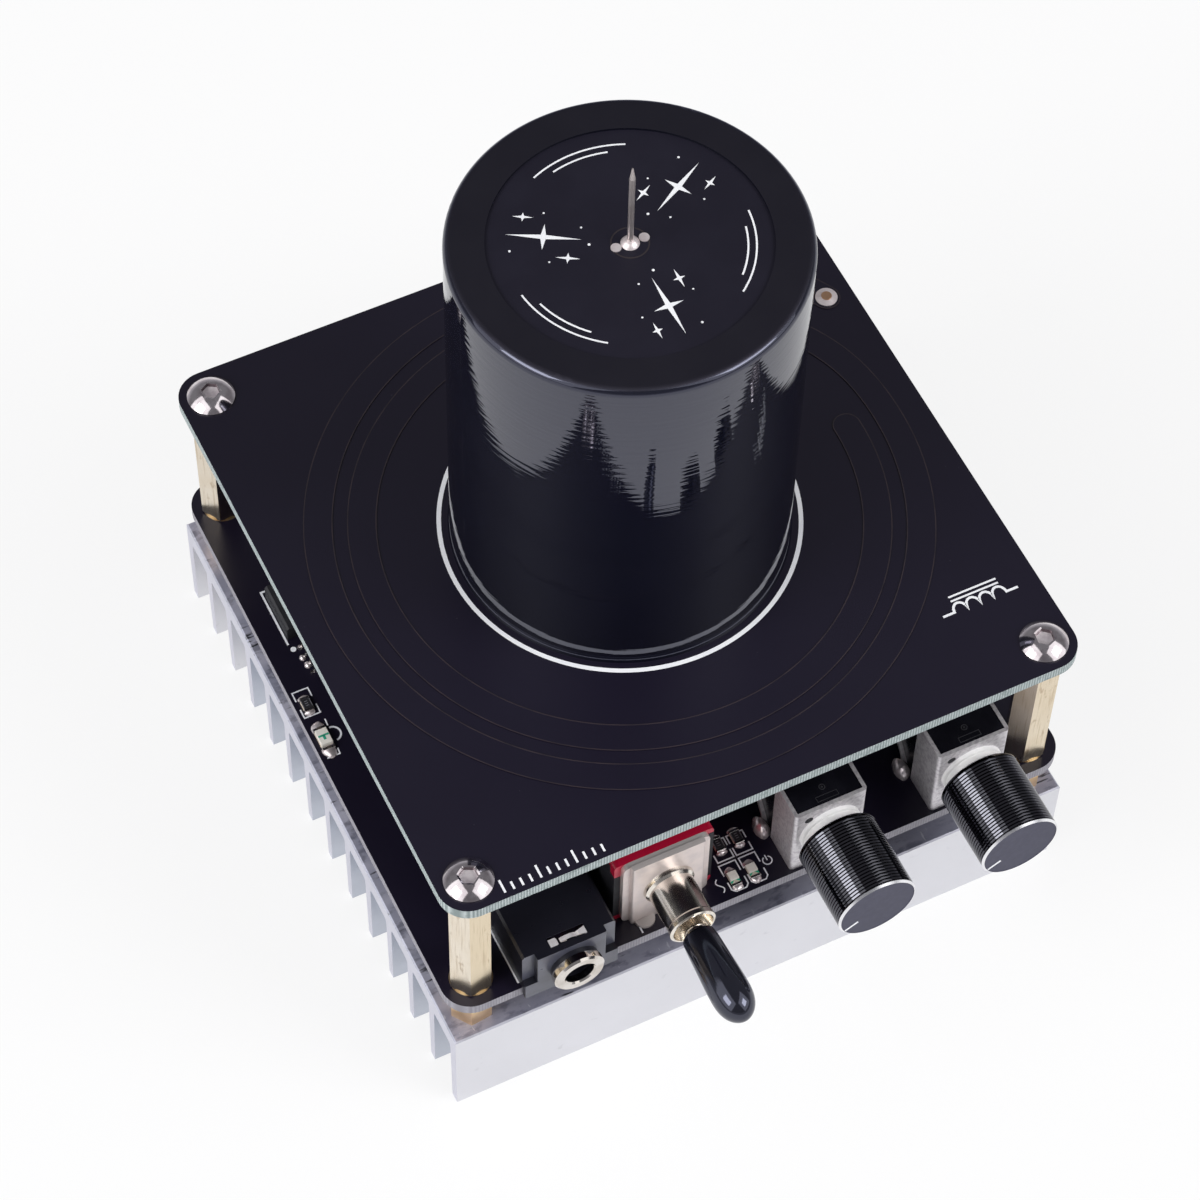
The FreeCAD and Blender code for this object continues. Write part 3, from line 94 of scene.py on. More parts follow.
class Paint:
    """One procedural material. Positions are in millimetres of the object's own space."""

    def __init__(self, name):
        self.material = bpy.data.materials.new(name)
        self.material.use_nodes = True
        self.tree = self.material.node_tree
        self.tree.nodes.clear()
        self.output = self.node("OutputMaterial")
        self.shader = self.node("BsdfPrincipled")
        self.join(self.shader.outputs[0], self.output.inputs[0])
        self.place = self.scale(self.node("TexCoord").outputs["Object"], (1 / MM,) * 3)
        self.height = None

    def join(self, a, b):
        self.tree.links.new(a, b)

    def put(self, socket, value):
        if isinstance(value, bpy.types.NodeSocket):
            self.join(value, socket)
        else:
            socket.default_value = value

    def node(self, kind, inputs=None, **settings):
        node = self.tree.nodes.new("ShaderNode" + kind)
        for key, value in settings.items():
            setattr(node, key, value)
        for key, value in (inputs or {}).items():
            self.put(node.inputs[key], value)
        return node

    def scale(self, vector, factors):
        return self.node("VectorMath", {0: vector, 1: factors}, operation="MULTIPLY").outputs[0]

    def math(self, operation, a, b=0.0):
        return self.node("Math", {0: a, 1: b}, operation=operation).outputs[0]

    def times(self, a, b):
        return self.math("MULTIPLY", a, b)

    def step(self, value, low, high):
        """Smooth step from 0 at low to 1 at high."""
        inputs = {"Value": value, "From Min": low, "From Max": high}
        return self.node("MapRange", inputs, interpolation_type="SMOOTHSTEP").outputs[0]

    def noise(self, size, detail=2.0, stretch=(1, 1, 1), rough=0.5):
        """Noise whose blotches measure about size millimetres, or size / stretch along an axis."""
        vector = self.scale(self.place, tuple(s / size for s in stretch))
        inputs = {"Vector": vector, "Scale": 1.0, "Detail": detail, "Roughness": rough}
        return self.node("TexNoise", inputs).outputs["Fac"]

    def specks(self, size, low, high):
        """1 in small round specks about size millimetres apart, 0 between them."""
        vector = self.scale(self.place, (1 / size,) * 3)
        cells = self.node("TexVoronoi", {"Vector": vector, "Scale": 1.0}).outputs["Distance"]
        return self.step(cells, low, high)

    def axis(self, index, vector=None):
        return self.node("SeparateXYZ", {0: vector or self.place}).outputs[index]

    def normal(self, index):
        return self.node("SeparateXYZ", {0: self.node("NewGeometry").outputs["Normal"]}).outputs[index]

    def upward(self, low=0.6, high=0.8):
        return self.step(self.normal(2), low, high)

    def mix(self, factor, a, b):
        node = self.node("Mix", data_type="RGBA")
        self.put(node.inputs[0], factor)
        for socket, value in ((node.inputs[6], a), (node.inputs[7], b)):
            self.put(socket, value if isinstance(value, bpy.types.NodeSocket) else (*value, 1.0))
        return node.outputs[2]

    def over(self, tone, mask, share, colour):
        """Tone with a share of colour laid over it where mask is 1."""
        return self.mix(self.times(mask, share), tone, colour)

    def blend(self, factor, a, b):
        """Number a where factor is 0, b where it is 1."""
        node = self.node("Mix", data_type="FLOAT")
        for index, value in ((0, factor), (2, a), (3, b)):
            self.put(node.inputs[index], value)
        return node.outputs[0]

    def relief(self, height, depth):
        """Adds depth millimetres of relief where height is 1."""
        inputs = {"Height": height, "Distance": depth * MM, "Strength": 1.0}
        if self.height:
            inputs["Normal"] = self.height
        self.height = self.node("Bump", inputs).outputs[0]

    def done(self, colour, rough, metallic=0.0, **constants):
        if not isinstance(colour, bpy.types.NodeSocket):
            colour = (*colour, 1.0)
        self.put(self.shader.inputs["Base Color"], colour)
        self.put(self.shader.inputs["Roughness"], rough)
        self.put(self.shader.inputs["Metallic"], metallic)
        for key, value in constants.items():
            self.shader.inputs[key.replace("_", " ")].default_value = value
        if self.height:
            self.join(self.height, self.shader.inputs["Normal"])
        return self.material


FLOOR_HALF = 3.0
GLOW_SEEN, GLOW_MIRRORED = 0.8, 0.6


def floor():
    """White table. Part of its white is its own, so that metal shows it as the eye does."""
    mesh = bpy.data.meshes.new("floor")
    mesh.from_pydata([(x * FLOOR_HALF, y * FLOOR_HALF, 0) for x, y in CORNER_SIGNS], [], [(0, 1, 2, 3)])
    obj = bpy.data.objects.new("floor", mesh)
    bpy.context.collection.objects.link(obj)
    paint = Paint("floor_white")
    tone = paint.mix(paint.noise(60, 3), (0.93, 0.93, 0.935), (0.95, 0.95, 0.955))
    paint.done(tone, 0.9, Specular_IOR_Level=0.0)
    path = paint.node("LightPath")
    mirrored = paint.math("MAXIMUM", path.outputs["Is Glossy Ray"], path.outputs["Is Transmission Ray"])
    glow = paint.node("Emission", {"Color": (1, 1, 1, 1), "Strength": 1.0})
    seen = paint.times(path.outputs["Is Camera Ray"], GLOW_SEEN)
    share = paint.math("MAXIMUM", seen, paint.times(mirrored, GLOW_MIRRORED))
    mixed = paint.node("MixShader", {0: share, 1: paint.shader.outputs[0], 2: glow.outputs[0]})
    paint.join(mixed.outputs[0], paint.output.inputs[0])
    mesh.materials.append(paint.material)


HORIZON, CEILING = 0.5, 0.22


def room():
    """White behind the object for the camera, a dim grey room for everything else."""
    studio = bpy.data.worlds.new("studio")
    bpy.context.scene.world = studio
    studio.use_nodes = True
    tree = studio.node_tree
    tree.nodes.clear()
    add = tree.nodes.new
    out, path = add("ShaderNodeOutputWorld"), add("ShaderNodeLightPath")
    coords, split = add("ShaderNodeTexCoord"), add("ShaderNodeSeparateXYZ")
    height = add("ShaderNodeMapRange")
    height.interpolation_type = "SMOOTHSTEP"
    for key, value in {"From Min": 0.0, "From Max": 0.3, "To Min": HORIZON, "To Max": CEILING}.items():
        height.inputs[key].default_value = value
    white, dim = add("ShaderNodeBackground"), add("ShaderNodeBackground")
    pick = add("ShaderNodeMixShader")
    dim.inputs["Color"].default_value = (0.94, 0.94, 1.0, 1.0)
    for source, target in (
        (coords.outputs["Generated"], split.inputs[0]), (split.outputs[2], height.inputs["Value"]),
        (height.outputs[0], dim.inputs["Strength"]), (path.outputs["Is Camera Ray"], pick.inputs[0]),
        (dim.outputs[0], pick.inputs[1]), (white.outputs[0], pick.inputs[2]), (pick.outputs[0], out.inputs[0]),
    ):
        tree.links.new(source, target)


bpy.context.scene.view_settings.view_transform = "Standard"
camera()
floor()
room()
# Two large soft boxes, one each side of the camera, each with a brighter middle.
area_lamp("lamp_left", (-1.056, -0.13, 0.86), (1.6, 1.5), 8.5)
area_lamp("lamp_right", (0.718, -0.744, 0.9), (1.35, 1.4), 6.5)
area_lamp("lamp_left_core", (-1.0, -0.125, 0.81), (0.62, 0.55), 6.0)
area_lamp("lamp_right_core", (0.68, -0.71, 0.86), (0.55, 0.5), 5.0)


# ------------------------ materials
def finish(name, colour, dark, rough, metallic, grain, depth, blotch=3.0, stretch=(1, 1, 1), **constants):
    """Colour that drifts towards dark in blotches, with fine grain in its relief and gloss."""
    paint = Paint(name)
    drift = paint.noise(blotch, 4)
    fine = paint.noise(grain, 3, stretch)
    paint.relief(fine, depth)
    tone = paint.mix(paint.step(drift, 0.35, 0.75), colour, dark)
    gloss = paint.blend(paint.noise(blotch / 3, 5), rough[0], rough[1])
    return paint.done(tone, gloss, metallic, **constants)


MASK_BLACK, MASK_PALE = (0.0074, 0.0054, 0.015), (0.0102, 0.0082, 0.0195)
MASK_SHINE = 0.42


def mask_paint(name):
    """Paint for solder mask, with its walls (1 on steep faces) and its black."""
    paint = Paint(name)
    wall = paint.step(paint.math("ABSOLUTE", paint.normal(2)), 0.75, 0.5)
    return paint, wall, paint.mix(paint.noise(14, 3), MASK_BLACK, MASK_PALE)


def board_mask(name, dark_edge, pale_edge):
    """Black solder mask on the faces; the sawn edge shows the laminate with its fine saw marks."""
    paint, wall, mask = mask_paint(name)
    mask = paint.over(mask, paint.specks(2.6, 0.035, 0.015), 0.35, (0.09, 0.09, 0.11))
    along = paint.node("CombineXYZ", {0: paint.math("ADD", paint.axis(0), paint.axis(1))}).outputs[0]
    waves = {"Vector": along, "Scale": 0.9, "Distortion": 1.6, "Detail": 3.0, "Detail Scale": 3.0}
    saw = paint.node("TexWave", waves).outputs["Fac"]
    edge = paint.mix(saw, dark_edge, pale_edge)
    edge = paint.mix(paint.step(paint.noise(0.8, 3), 0.45, 0.85), edge, dark_edge)
    paint.relief(paint.times(saw, wall), 0.02)
    paint.relief(paint.noise(0.5, 3), 0.0012)
    gloss = paint.blend(wall, paint.blend(paint.noise(9, 4), 0.28, 0.35), 0.75)
    return paint.done(paint.mix(wall, mask, edge), gloss, Specular_IOR_Level=MASK_SHINE)


def trace_mask():
    """The same mask over copper: the thin walls of the trace catch a reddish grey."""
    paint, wall, mask = mask_paint("trace_mask_black")
    rust = paint.mix(paint.noise(1.5, 3), (0.06, 0.042, 0.044), (0.15, 0.105, 0.1))
    paint.relief(paint.noise(0.5, 3), 0.0012)
    gloss = paint.blend(paint.noise(9, 4), 0.3, 0.37)
    return paint.done(paint.mix(wall, mask, rust), gloss, Specular_IOR_Level=MASK_SHINE)


def extruded_aluminium():
    """Bare extrusion: drawn front, pale sawn ends, painted shade darkening the faces between the fins, a
    scuffed and dull top.
    """
    paint = Paint("aluminium_extruded")
    top = paint.upward()
    sawn = paint.step(paint.math("ABSOLUTE", paint.normal(0)), 0.6, 0.8)
    front_y = corners("heat_sink")[0].y
    # Faces between the front and the back face are the sides of the fins; they are painted darker as shade.
    inside = paint.step(paint.axis(1), front_y + 0.25, front_y + 0.35)
    between = paint.times(inside, paint.step(paint.axis(1), -front_y - 0.2, -front_y - 0.3))
    cloud = paint.noise(9, 4)
    front = paint.mix(cloud, (0.72, 0.72, 0.76), (0.8, 0.8, 0.84))
    front = paint.mix(paint.step(paint.noise(0.9, 4, (0.5, 1, 0.5)), 0.62, 0.8), front, (0.66, 0.66, 0.7))
    fin = paint.mix(paint.noise(5, 3, (0.2, 1, 1)), (0.55, 0.58, 0.65), (0.68, 0.71, 0.79))
    tone = paint.mix(between, front, fin)
    ends = paint.mix(paint.noise(2.2, 4, (1, 1, 0.4)), (0.66, 0.66, 0.74), (0.76, 0.76, 0.84))
    tone = paint.mix(sawn, tone, ends)
    cloudy = paint.step(paint.noise(5, 5, (0.5, 1, 1)), 0.3, 0.7)
    wear_and_sheen = paint.mix(cloudy, (0.34, 0.35, 0.46), (0.64, 0.63, 0.75))
    near_front = paint.step(paint.axis(1), front_y + 5.0, front_y + 3.0)
    wear_and_sheen = paint.over(wear_and_sheen, near_front, 0.5, (0.2, 0.2, 0.27))
    mottle = paint.step(paint.noise(1.7, 6, (0.5, 1, 1), 0.62), 0.5, 0.64)
    wear_and_sheen = paint.over(wear_and_sheen, mottle, 0.6, (0.11, 0.11, 0.16))
    streak = paint.step(paint.noise(0.55, 3, (0.16, 1, 1)), 0.6, 0.7)
    streak = paint.times(streak, paint.step(paint.noise(8, 3), 0.42, 0.6))
    wear_and_sheen = paint.mix(streak, wear_and_sheen, (0.03, 0.03, 0.04))
    nicks = paint.step(paint.noise(0.45, 2, (1, 0.3, 1)), 0.68, 0.74)
    wear_and_sheen = paint.over(wear_and_sheen, nicks, 0.6, (0.62, 0.62, 0.68))
    paint.relief(paint.noise(0.35, 4, (0.02, 1, 1)), 0.004)
    paint.relief(paint.times(streak, top), 0.02)
    gloss = paint.blend(top, paint.blend(cloud, 0.4, 0.52), 0.5)
    return paint.done(paint.mix(top, tone, wear_and_sheen), gloss, paint.blend(top, 1.0, 0.35))


def sleeve_gloss():
    """Black shrink sleeve: glossy wall over the turns of the winding, duller where it folds in on top."""
    paint = Paint("sleeve_black")
    around = paint.node("VectorMath", {0: paint.place, 1: (0, AXIS_Y, 0)}, operation="SUBTRACT").outputs[0]
    angle = paint.math("ARCTAN2", paint.axis(1, around), paint.axis(0, around))
    top = paint.upward(0.75, 0.95)
    wall = paint.math("SUBTRACT", 1.0, top)

    def wrapped(per_radian, per_mm, depth, **inputs):
        """Relief from noise wrapped round the wall, this many blotches per radian and per millimetre."""
        strip = {0: paint.times(angle, per_radian), 1: paint.times(paint.axis(2), per_mm)}
        inputs["Vector"] = paint.node("CombineXYZ", strip).outputs[0]
        noise = paint.node("TexNoise", {"Scale": 1.0, **inputs}).outputs["Fac"]
        paint.relief(paint.times(noise, wall), depth)

    wrapped(2.2, 1.9, 0.014, Detail=1.5, Roughness=0.4)
    wrapped(1.3, 0.055, 0.25, Detail=0.5)
    paint.relief(paint.noise(0.35, 2), 0.0008)
    tone = paint.mix(paint.noise(9, 3), (0.0034, 0.0036, 0.0088), (0.005, 0.0054, 0.0112))
    tone = paint.over(tone, paint.specks(3.1, 0.03, 0.012), 0.2, (0.12, 0.12, 0.14))
    tone = paint.mix(top, tone, paint.mix(paint.noise(7, 4), (0.038, 0.036, 0.05), (0.048, 0.046, 0.061)))
    wall_gloss = paint.blend(paint.noise(5, 4), 0.02, 0.045)
    top_gloss = paint.blend(paint.noise(6, 4), 0.5, 0.62)
    return paint.done(tone, paint.blend(top, wall_gloss, top_gloss), top, Specular_IOR_Level=0.95,
                      Specular_Tint=(0.76, 0.78, 1.0, 1.0))


def brass():
    """Pale turned brass, with painted shade that makes its faces turned to the right darker and yellower, fine
    drawn lines and brown stains.
    """
    paint = Paint("brass_turned")
    drawn = paint.noise(0.22, 4, (1, 1, 0.04))
    paint.relief(drawn, 0.004)
    tone = paint.mix(paint.step(paint.noise(4, 4), 0.3, 0.75), (0.82, 0.74, 0.62), (0.76, 0.66, 0.52))
    # Painted shade: faces turned towards +X are darker and yellower.
    tone = paint.mix(paint.step(paint.normal(0), -0.35, 0.35), tone, (0.72, 0.59, 0.39))
    tone = paint.over(tone, paint.step(drawn, 0.5, 0.72), 0.45, (0.44, 0.31, 0.18))
    stain = paint.step(paint.noise(0.9, 4, (1, 1, 0.35)), 0.62, 0.74)
    tone = paint.over(tone, stain, 0.5, (0.36, 0.23, 0.12))
    return paint.done(tone, paint.blend(paint.noise(2.5, 4), 0.14, 0.26), 1.0)


def jack_plastic():
    """Moulded black; the front faces are a blotchy cool grey of scuffs and painted sheen."""
    paint = Paint("jack_black")
    front = paint.step(paint.times(paint.normal(1), -1.0), 0.6, 0.8)
    paint.relief(paint.noise(0.28, 3), 0.003)
    tone = paint.mix(paint.noise(4, 4), (0.007, 0.007, 0.012), (0.0125, 0.0125, 0.019))
    tone = paint.over(tone, paint.specks(0.9, 0.07, 0.02), 0.35, (0.1, 0.1, 0.12))
    # Front faces: scuffs and painted sheen in a blotchy cool grey.
    wear_and_sheen = paint.mix(paint.noise(1.6, 4), (0.045, 0.047, 0.066), (0.105, 0.108, 0.145))
    return paint.done(paint.mix(front, tone, wear_and_sheen), paint.blend(paint.noise(1.3, 3), 0.24, 0.36))


def red_body():
    """Red moulding of the toggle, slightly cloudy."""
    paint = Paint("toggle_red")
    paint.relief(paint.noise(0.35, 3), 0.004)
    tone = paint.mix(paint.noise(3, 3), (0.42, 0.004, 0.03), (0.52, 0.008, 0.045))
    return paint.done(tone, paint.blend(paint.noise(1.5, 3), 0.25, 0.4))


def satin_plate():
    """Plated pressing of the toggle: satin, paler and duller on its upper edges."""
    paint = Paint("nickel_satin")
    top = paint.upward()
    cloud = paint.noise(2.0, 4)
    paint.relief(paint.noise(0.16, 3), 0.004)
    tone = paint.mix(paint.step(cloud, 0.35, 0.75), (0.76, 0.67, 0.64), (0.64, 0.57, 0.56))
    tone = paint.mix(top, tone, paint.mix(cloud, (0.46, 0.42, 0.41), (0.56, 0.52, 0.51)))
    gloss = paint.blend(paint.noise(0.7, 5), 0.34, 0.48)
    return paint.done(tone, gloss, paint.blend(top, 0.5, 0.1))


MATERIALS = {
    "heat_sink": extruded_aluminium(),
    "board": board_mask("board_mask_black", (0.22, 0.27, 0.27), (0.52, 0.58, 0.58)),
    "board_grey": board_mask("board_mask_black_grey_edge", (0.26, 0.25, 0.28), (0.36, 0.35, 0.39)),
    "trace": trace_mask(),
    "sleeve": sleeve_gloss(),
    "brass": brass(),
    "satin": satin_plate(),
    "red": red_body(),
    "jack": jack_plastic(),
}
# Key: name, colour, darker colour, gloss from and to, metallic, grain, its depth, blotches (mm), stretch.
FINISHES = {
    "copper": ("copper_spacer", (0.86, 0.56, 0.36), (0.7, 0.38, 0.22), (0.25, 0.4), 1.0, 0.2, 0.003),
    "gilt": ("brass_spacer", (0.95, 0.7, 0.42), (0.8, 0.54, 0.27), (0.25, 0.4), 1.0, 0.2, 0.003),
    "steel": ("screw_steel", (0.74, 0.69, 0.71), (0.52, 0.46, 0.48), (0.05, 0.16), 1.0, 0.5, 0.002, 1.4),
    # shaded_key_wall: painted shade on the walls of the screws' sockets.
    "shaded_key_wall": ("socket_wall_shade", (0.16, 0.13, 0.14), (0.09, 0.07, 0.08), (0.25, 0.4), 1.0, 0.3, 0.002, 0.8),
    "key_floor": ("socket_floor", (0.94, 0.87, 0.89), (0.74, 0.66, 0.69), (0.35, 0.5), 0.7, 0.3, 0.004, 0.8),
    "trace_line": ("trace_line", (0.034, 0.024, 0.03), (0.016, 0.012, 0.018), (0.4, 0.5), 0.0, 0.2, 0.002),
    "pad": ("pad_tinned_gold", (0.66, 0.54, 0.36), (0.46, 0.34, 0.2), (0.3, 0.45), 1.0, 0.3, 0.004, 1.5),
    "disc": ("disc_black", (0.0078, 0.0066, 0.0155), (0.0098, 0.0086, 0.0185), (0.5, 0.6), 0.0, 0.25, 0.002,
        5.0),
    "plastic": ("moulded_black", (0.0042, 0.0042, 0.007), (0.007, 0.007, 0.011), (0.2, 0.32), 0.0, 0.28,
        0.003, 4.0),
    "pot_top": ("pot_black", (0.0045, 0.0045, 0.007), (0.008, 0.008, 0.012), (0.12, 0.3), 0.0, 0.5, 0.004),
    "former": ("former_tube", (0.62, 0.6, 0.55), (0.5, 0.48, 0.43), (0.35, 0.5), 0.0, 0.4, 0.004, 6.0),
    "wire": ("enamel_copper", (0.62, 0.24, 0.1), (0.48, 0.17, 0.07), (0.2, 0.35), 1.0, 0.15, 0.003, 4.0,
        (0.1, 0.1, 3)),
    "needle": ("needle_steel", (0.86, 0.79, 0.78), (0.7, 0.62, 0.6), (0.34, 0.44), 0.9, 0.3, 0.0003, 4.0,
        (1, 1, 0.1)),
    "nickel": ("nickel_bright", (0.72, 0.68, 0.64), (0.58, 0.53, 0.48), (0.06, 0.16), 1.0, 0.4, 0.001, 2.2),
    "bushing": ("nickel_bushing", (0.84, 0.79, 0.72), (0.68, 0.62, 0.54), (0.13, 0.22), 1.0, 0.4, 0.001, 2.2),
    # side: black of painted shade, for the toggle's shaded sides and the brackets' key holes.
    "side": ("painted_shade_black", (0.01, 0.01, 0.014), (0.024, 0.024, 0.03), (0.5, 0.65), 0.0, 0.3, 0.004,
        2.0),
    "leaf": ("leaf_satin", (0.8, 0.78, 0.8), (0.64, 0.61, 0.63), (0.3, 0.42), 0.3, 0.2, 0.003, 1.0),
    "top_tin": ("solder_top", (0.92, 0.84, 0.84), (0.78, 0.68, 0.68), (0.28, 0.42), 0.6, 0.3, 0.006, 1.2),
    "stain": ("via_brown", (0.026, 0.018, 0.02), (0.018, 0.014, 0.018), (0.5, 0.6), 0.0, 0.2, 0.002, 1.0),
    "bracket": ("bracket_plated", (0.72, 0.7, 0.72), (0.5, 0.47, 0.51), (0.42, 0.55), 0.7, 0.12, 0.006,
        0.45),
    "tin": ("tinned_copper", (0.86, 0.84, 0.83), (0.74, 0.69, 0.66), (0.15, 0.3), 1.0, 0.2, 0.003, 1.5),
    "solder": ("solder", (0.92, 0.85, 0.86), (0.74, 0.65, 0.66), (0.16, 0.3), 0.7, 0.35, 0.01, 1.2),
    "chip": ("chip_epoxy", (0.016, 0.016, 0.02), (0.026, 0.026, 0.031), (0.4, 0.55), 0.0, 0.12, 0.004, 2.0),
    "cap": ("cap_vinyl", (0.0045, 0.0045, 0.007), (0.008, 0.008, 0.012), (0.06, 0.12), 0.0, 0.8, 0.003, 4.0),
    "can": ("can_sleeve", (0.012, 0.013, 0.02), (0.02, 0.021, 0.03), (0.22, 0.35), 0.0, 0.5, 0.004, 4.0),
    "film": ("film_block", (0.3, 0.05, 0.03), (0.22, 0.03, 0.02), (0.25, 0.4), 0.0, 0.4, 0.005, 4.0),
    "rubber": ("pad_grey", (0.32, 0.34, 0.36), (0.25, 0.27, 0.29), (0.6, 0.8), 0.0, 0.25, 0.006),
    "shaft": ("shaft_aluminium", (0.78, 0.78, 0.8), (0.66, 0.66, 0.69), (0.2, 0.35), 1.0, 0.1, 0.003, 3.0,
        (1, 0.1, 1)),
    "collar": ("collar_zinc", (0.95, 0.94, 0.93), (0.86, 0.85, 0.85), (0.5, 0.6), 0.2, 0.2, 0.004, 2.0),
    "knob": ("knob_anodised", (0.078, 0.078, 0.09), (0.098, 0.098, 0.112), (0.05, 0.07), 1.0, 0.25, 0.0005),
    "knob_face": ("knob_face", (0.026, 0.026, 0.06), (0.034, 0.034, 0.072), (0.46, 0.52), 0.0, 0.25, 0.002,
        0.8),
    "knob_rim": ("knob_cut_rim", (0.9, 0.9, 0.92), (0.8, 0.8, 0.83), (0.2, 0.3), 1.0, 0.2, 0.001, 2.0),
    "ink": ("print_white", (0.97, 0.98, 1.0), (0.9, 0.91, 0.95), (0.45, 0.6), 0.0, 0.15, 0.002, 2.0),
    "ink_deck": ("print_white_fine", (0.94, 0.96, 1.0), (0.8, 0.82, 0.88), (0.45, 0.6), 0.0, 0.15, 0.002,
        1.5),
    "ink_grey": ("print_grey", (0.26, 0.26, 0.29), (0.18, 0.18, 0.21), (0.45, 0.6), 0.0, 0.15, 0.002, 1.5),
    "ceramic": ("led_ceramic", (0.7, 0.62, 0.52), (0.6, 0.52, 0.42), (0.3, 0.45), 0.0, 0.2, 0.003, 1.0),
    "lens": ("led_lens", (0.96, 0.93, 0.86), (0.86, 0.82, 0.75), (0.18, 0.28), 0.0, 0.3, 0.002, 0.8),
    "hole": ("shadowed_notch", (0.05, 0.04, 0.035), (0.09, 0.07, 0.06), (0.4, 0.6), 0.0, 0.2, 0.003, 0.8),
    "green": ("led_green", (0.02, 0.46, 0.28), (0.01, 0.36, 0.22), (0.3, 0.45), 0.0, 0.2, 0.002, 0.8),
}
SHADER_CONSTANTS = {
    "disc": dict(Specular_IOR_Level=0.3),
    "side": dict(Specular_IOR_Level=0.3),
    "cap": dict(Specular_IOR_Level=1.0, Specular_Tint=(0.74, 0.77, 1.0, 1.0)),
    "knob_face": dict(Specular_IOR_Level=0.5),
}
for key, values in FINISHES.items():
    MATERIALS[key] = finish(*values, **SHADER_CONSTANTS.get(key, {}))
NODE_MATERIALS = {
    "heat_sink": "heat_sink", "base_spacers": "gilt", "driver_board": "board_grey", "board_standoffs": "brass",
    "primary_board": "board", "primary_winding": "trace", "board_screws": "steel", "link_posts": "copper",
    "link_solder": "top_tin", "coil_former": "former", "coil_winding": "wire", "coil_sleeve": "sleeve",
    "coil_top_disc": "disc", "coil_foot_disc": "disc", "discharge_needle": "needle", "top_solder": "top_tin",
    "audio_jack_body": "jack", "audio_jack_ring": "nickel", "audio_jack_contacts": "nickel",
    "toggle_body": "red", "toggle_frame": "satin", "toggle_bushing": "bushing", "toggle_pins": "tin",
    "toggle_lever": "nickel", "toggle_cap": "cap", "status_leds": "ceramic", "chip_resistors": "chip",
    "driver_chip": "chip", "driver_chip_leads": "tin", "clamp_diode": "chip", "bulk_capacitors": "can",
    "film_capacitor": "film", "solder_joints": "solder", "dc_jack_body": "plastic", "dc_jack_contacts": "tin",
    "thermal_pads": "rubber", "mosfet_tabs": "tin", "mosfet_bodies": "chip", "mosfet_screws": "steel",
}
CONTROL_MATERIALS = {
    "_pot_body": "pot_top", "_pot_bracket": "bracket", "_pot_bushing": "collar", "_pot_pins": "tin",
    "_pot_shaft": "shaft", "_knob": "knob",
}
for side in SIDES:
    NODE_MATERIALS.update({side + node: material for node, material in CONTROL_MATERIALS.items()})
for node, material in NODE_MATERIALS.items():
    NODES[node].data.materials.clear()
    NODES[node].data.materials.append(MATERIALS[material])


# ------------------------ making pieces
SHARP_DEG = 35


def turns(count):
    """Angles of count even steps round a circle."""
    return [2 * math.pi * i / count for i in range(count)]


def frame_at(degrees):
    """Unit vectors along and across a direction in the plane."""
    a = math.radians(degrees)
    return Vector((math.cos(a), math.sin(a))), Vector((-math.sin(a), math.cos(a)))


